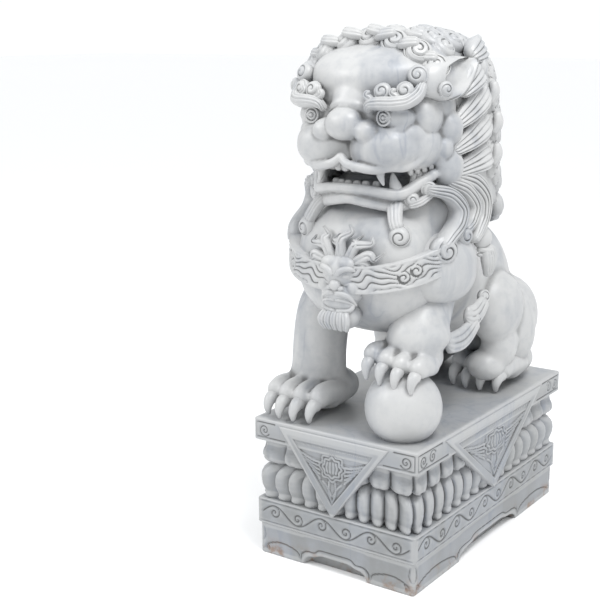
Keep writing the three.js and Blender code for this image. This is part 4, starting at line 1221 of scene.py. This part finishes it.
def marbleMaterial():
    # Pale stone with upright blue-grey clouds and veins, greyer on the plinth, dust and painted shade
    # darkening the hollows, ridges painted paler as wear and painted highlight, and brown stains at the foot.
    made = bpy.data.materials.new("marble")
    shader = nodeOf(made, "BSDF_PRINCIPLED")
    tree = made.node_tree
    spot = Wire(tree, tree.nodes.new("ShaderNodeTexCoord").outputs["Object"])
    hollow = spot.node("ShaderNodeAttribute", {"attribute_name": "hollow"}, None, 2)
    height = spot.node("ShaderNodeSeparateXYZ", None, {0: spot}, 2)
    upright = spot.stretched((1.0, 1.0, 0.24))
    clouds = upright.noise(8.0, 3.0, 0.55, 0.6).between(0.40, 0.68)
    streaks = upright.noise(13.0, 3.0, 0.5, 0.3)
    aside = spot.node("ShaderNodeMath", {"operation": "ABSOLUTE"}, {0: streaks - 0.5})
    veins = (1 - aside.between(0.0, 0.035)) * clouds
    mottle = spot.noise(42.0, 4.0, 0.6)
    low = 1 - height.between(0.25, 0.40)
    colour = spot.node("ShaderNodeRGB")
    colour.socket.default_value = marble["pale"]
    colour = colour.towards(marble["plinth"], low * marble["plinthShare"])
    colour = colour.towards(marble["cloud"], clouds * marble["cloudShare"] + mottle.between(0.42, 0.7) * 0.25)
    colour = colour.towards(marble["vein"], veins * marble["veinShare"])
    # Dust and painted shade: the hollows darkened towards a near black, a little more on the plinth.
    colour = colour.towards(marble["shadeAndDust"], hollow.between(0.02, 0.8) * (marble["shadeAndDustShare"] + low * 0.08))
    # Wear and painted highlight: the ridges mixed back towards the pale stone.
    colour = colour.towards(marble["pale"], (0 - hollow).between(0.1, 0.9) * marble["highlightAndWearShare"])
    rust = spot.noise(24.0, 4.0, 0.65).between(0.5, 0.68) * (1 - height.between(0.012, 0.05))
    colour = colour.towards(marble["stain"], rust * marble["stainShare"])
    tree.links.new(colour.socket, shader.inputs["Base Color"])
    rough = marble["roughness"] + hollow.between(0, 1) * 0.35 + mottle * 0.12
    tree.links.new(rough.socket, shader.inputs["Roughness"])
    grain = spot.noise(160.0, 3.0, 0.6)
    wear = spot.noise(30.0, 3.0, 0.5)
    bump = spot.node("ShaderNodeBump", None,
                     {"Strength": 0.10, "Distance": 0.002, "Height": grain * 0.35 + wear * 0.65})
    tree.links.new(bump.socket, shader.inputs["Normal"])
    return made


marbleFinish = marbleMaterial()
for piece in pieces:
    piece.data.materials.append(marbleFinish)
    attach(piece, "root")
    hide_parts("guardian_lion")
print("marble finished,", sum(len(piece.data.polygons) for piece in pieces), "triangles in all")

# Floor, light and camera.
studio = {
    "floor": (0.965, 0.965, 0.965, 1), "sky": 1.04, "skyColour": (0.975, 0.988, 1.0, 1),
    "camera": (1.3432, -2.3848, 1.1923), "azimuth": 35.26, "elevation": 13.06, "roll": -0.31, "lens": 70.62,
    # place, aim, size in metres and power in watts of each soft light
    "lights": {"overhead": ((1.4, -0.8, 3.3), (0, 0, 0.7), 1.1, 66),
               "side": ((-1.8, -2.2, 2.4), (0, 0, 0.7), 1.0, 30)},
}


def studioFloor():
    # A flat square, one face, its four corners on the ground.
    corners = np.array([(-40, -40, 0), (40, -40, 0), (40, 40, 0), (-40, 40, 0)], float)
    floor = inScene("floor", meshOf("floor", corners, np.array([[0, 1, 2], [0, 2, 3]])))
    finish = bpy.data.materials.new("floorFinish")
    shader = nodeOf(finish, "BSDF_PRINCIPLED")
    shader.inputs["Base Color"].default_value = studio["floor"]
    shader.inputs["Roughness"].default_value = 0.9
    floor.data.materials.append(finish)


def softLight(name, place, aim, size, power):
    light = bpy.data.lights.new(name, "AREA")
    light.shape, light.size, light.energy = "SQUARE", size, power
    lamp = inScene(name, light)
    lamp.location = place
    lamp.rotation_euler = (Vector(aim) - Vector(place)).to_track_quat("-Z", "Y").to_euler()


def photoCamera():
    lens = bpy.data.cameras.new("camera")
    lens.lens, lens.sensor_width = studio["lens"], 36
    camera = inScene("camera", lens)
    a, e = radians(studio["azimuth"]), radians(studio["elevation"])
    back = Vector((np.sin(a) * np.cos(e), -np.cos(a) * np.cos(e), np.sin(e)))
    right = Vector((0, 0, 1)).cross(back).normalized()
    up = back.cross(right)
    axes = Matrix((right, up, back)).transposed() @ Matrix.Rotation(radians(studio["roll"]), 3, "Z")
    camera.matrix_world = Matrix.Translation(studio["camera"]) @ axes.to_4x4()
    bpy.context.scene.camera = camera


studioFloor()
for name, values in studio["lights"].items():
    softLight(name, *values)
photoCamera()
world = bpy.data.worlds.new("studio")
bpy.context.scene.world = world
bpy.context.scene.view_settings.view_transform = "Standard"
sky = nodeOf(world, "BACKGROUND")
sky.inputs["Color"].default_value = studio["skyColour"]
sky.inputs["Strength"].default_value = studio["sky"]
print("studio ready")
